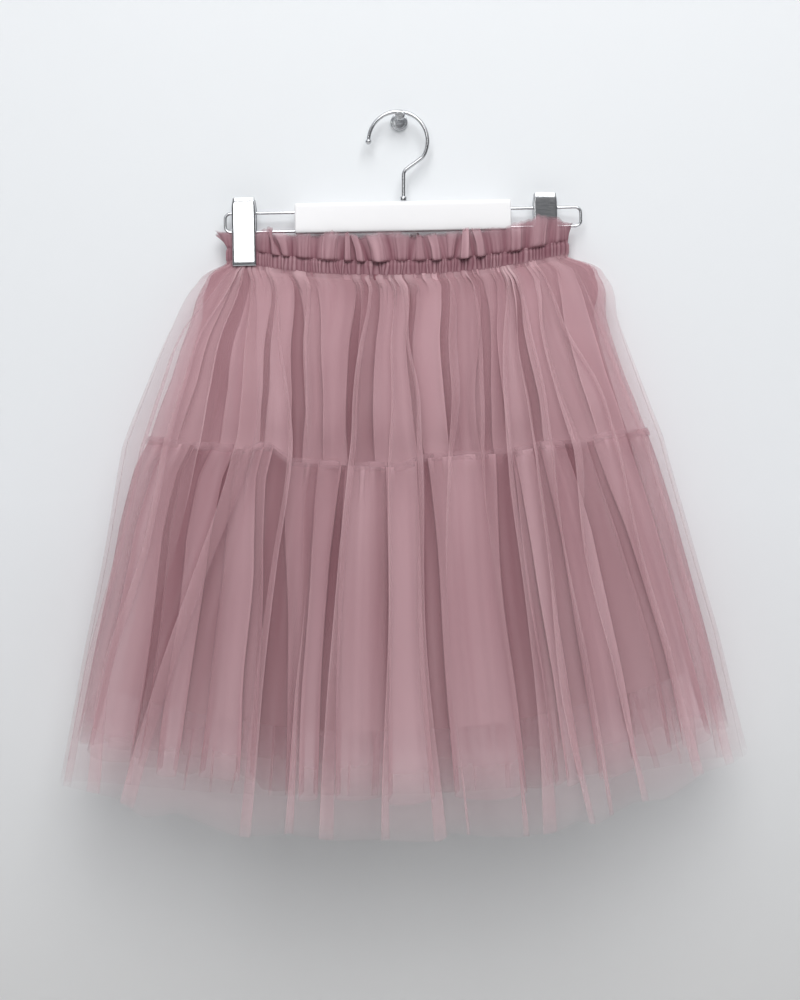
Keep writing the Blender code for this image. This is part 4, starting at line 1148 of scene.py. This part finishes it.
PLATE = (
    (0, 0.01), (0, 7.9), (0.2, 8.0), (2.1, 8.0), (2.5, 7.8), (2.9, 7.3), (3.0, 6.8), (2.8, 6.2),
    (2.9, 5.0), (3.0, 3.2), (3.0, 0.01),
)
PEG = (
    (2.6, 0.01), (2.6, 3.0), (3.4, 2.4), (4.2, 2.2), (18.4, 2.2), (18.9, 2.6), (19.6, 4.3), (20.0, 4.4),
    (22.6, 4.4), (23.2, 4.0), (23.5, 3.3), (23.5, 3.1), (23.5, 0.01),
)
plate = turned_piece("wall_plate_turned", PLATE, (0.0, 0.0), 64)
peg = turned_piece("wall_peg_turned", PEG, (0.9, 2.95), 48)
finish_piece(plate, "chrome_plated_steel", "wall_hook")
finish_piece(peg, "chrome_plated_steel")
print("peg reaches", PEG[-1][0], "mm from the wall")

# %% [markdown]
# ## Wall, floor and light
# A plain pale wall stands behind, one-sided so that it doesn't hide the skirt from the other side, its paint
# darker towards the floor as painted shade, and a pale floor lies well below. A large soft light from above
# and in front, a small pale card beside the camera and a room that is bright above and dim at eye level give
# the soft shadow under the hem, and draw dark edges on the chrome.

# %% Stage
stage_paint, tree, shader = new_finish("matt_wall_paint_with_painted_shade", Roughness=0.95, Specular_IOR_Level=0.1)
# Painted shade: the wall's paint is darker towards the floor
height = add_node(tree, "SeparateXYZ", {}, {0: add_node(tree, "TexCoord").outputs["Object"]}).outputs[2]
upper = add_node(tree, "MapRange", {"From Min": -0.9, "From Max": -0.35}, {"Value": height}).outputs["Result"]
feed(shader, Base_Color=blend(tree, upper, "#d6d6d5", "#eceff1"))
facing = add_node(tree, "NewGeometry").outputs["Backfacing"]
clear = add_node(tree, "BsdfTransparent").outputs[0]
both = add_node(tree, "MixShader", {}, {0: facing, 1: shader.outputs[0], 2: clear}).outputs[0]
tree.links.new(both, tree.nodes["Material Output"].inputs["Surface"])


def stage_plane(name, corners):
    """One square of the stage from its four corners in metres."""
    mesh = bpy.data.meshes.new(name)
    mesh.from_pydata(corners, [], [(0, 1, 2, 3)])
    mesh.materials.append(stage_paint)
    plane = bpy.data.objects.new(name, mesh)
    bpy.context.scene.collection.objects.link(plane)
    return plane


SIDE, FLOOR_Z = 3.0, -1.3
floor_ends = [(-SIDE, FLOOR_Z), (SIDE, FLOOR_Z)]
wall_plane = stage_plane("stage_wall", [(x, 0.0005, z) for x, z in floor_ends + [(SIDE, 2.2), (-SIDE, 2.2)]])
wall_plane.visible_shadow = False
floor_corners = [(x, -4.0, z) for x, z in floor_ends] + [(x, SIDE, z) for x, z in floor_ends[::-1]]
stage_plane("stage_floor", floor_corners)


def soft_light(name, place, target, size, power):
    """Square area light that looks at a point."""
    data = bpy.data.lights.new(name, "AREA")
    data.shape = "SQUARE"
    data.size = size
    data.energy = power
    light = bpy.data.objects.new(name, data)
    light.location = place
    x, y, z = np.array(target, float) - np.array(place, float)
    light.rotation_euler = (math.atan2(math.hypot(x, y), -z), 0.0, math.atan2(x, -y) + math.pi)
    bpy.context.scene.collection.objects.link(light)


soft_light("key_light", (0.12, -1.9, 1.35), (0.03, 0.0, 0.05), 1.5, 44.5)
soft_light("front_card", (-0.57, -2.2, 0.15), (-0.1, 0.0, -0.2), 0.5, 3.0)
soft_light("back_light", (0.6, 2.2, 0.9), (0.0, 0.0, -0.3), 1.8, 34.0)

world = bpy.data.worlds.new("pale_room")
world.use_nodes = True
tree = world.node_tree
view_way = add_node(tree, "TexCoord").outputs["Generated"]
parts = add_node(tree, "SeparateXYZ", {}, {0: view_way}).outputs
brighter_above = {"From Min": 0.15, "From Max": 0.7, "To Min": 0.12, "To Max": 0.64}
ceiling = add_node(tree, "MapRange", brighter_above, {"Value": parts[2]}).outputs[0]
seen = add_node(tree, "LightPath").outputs["Is Camera Ray"]
strength = add_node(tree, "Mix", {"data_type": "FLOAT", "B": 0.8}, {0: seen, "A": ceiling}).outputs[0]
tree.links.new(strength, tree.nodes["Background"].inputs["Strength"])
tree.nodes["Background"].inputs["Color"].default_value = linear("#fafaff")
bpy.context.scene.world = world
bpy.context.scene.view_settings.view_transform = "Standard"
rays = bpy.context.scene.cycles
rays.transparent_max_bounces, rays.max_bounces, rays.diffuse_bounces, rays.glossy_bounces = 32, 4, 2, 3
print("stage ready")
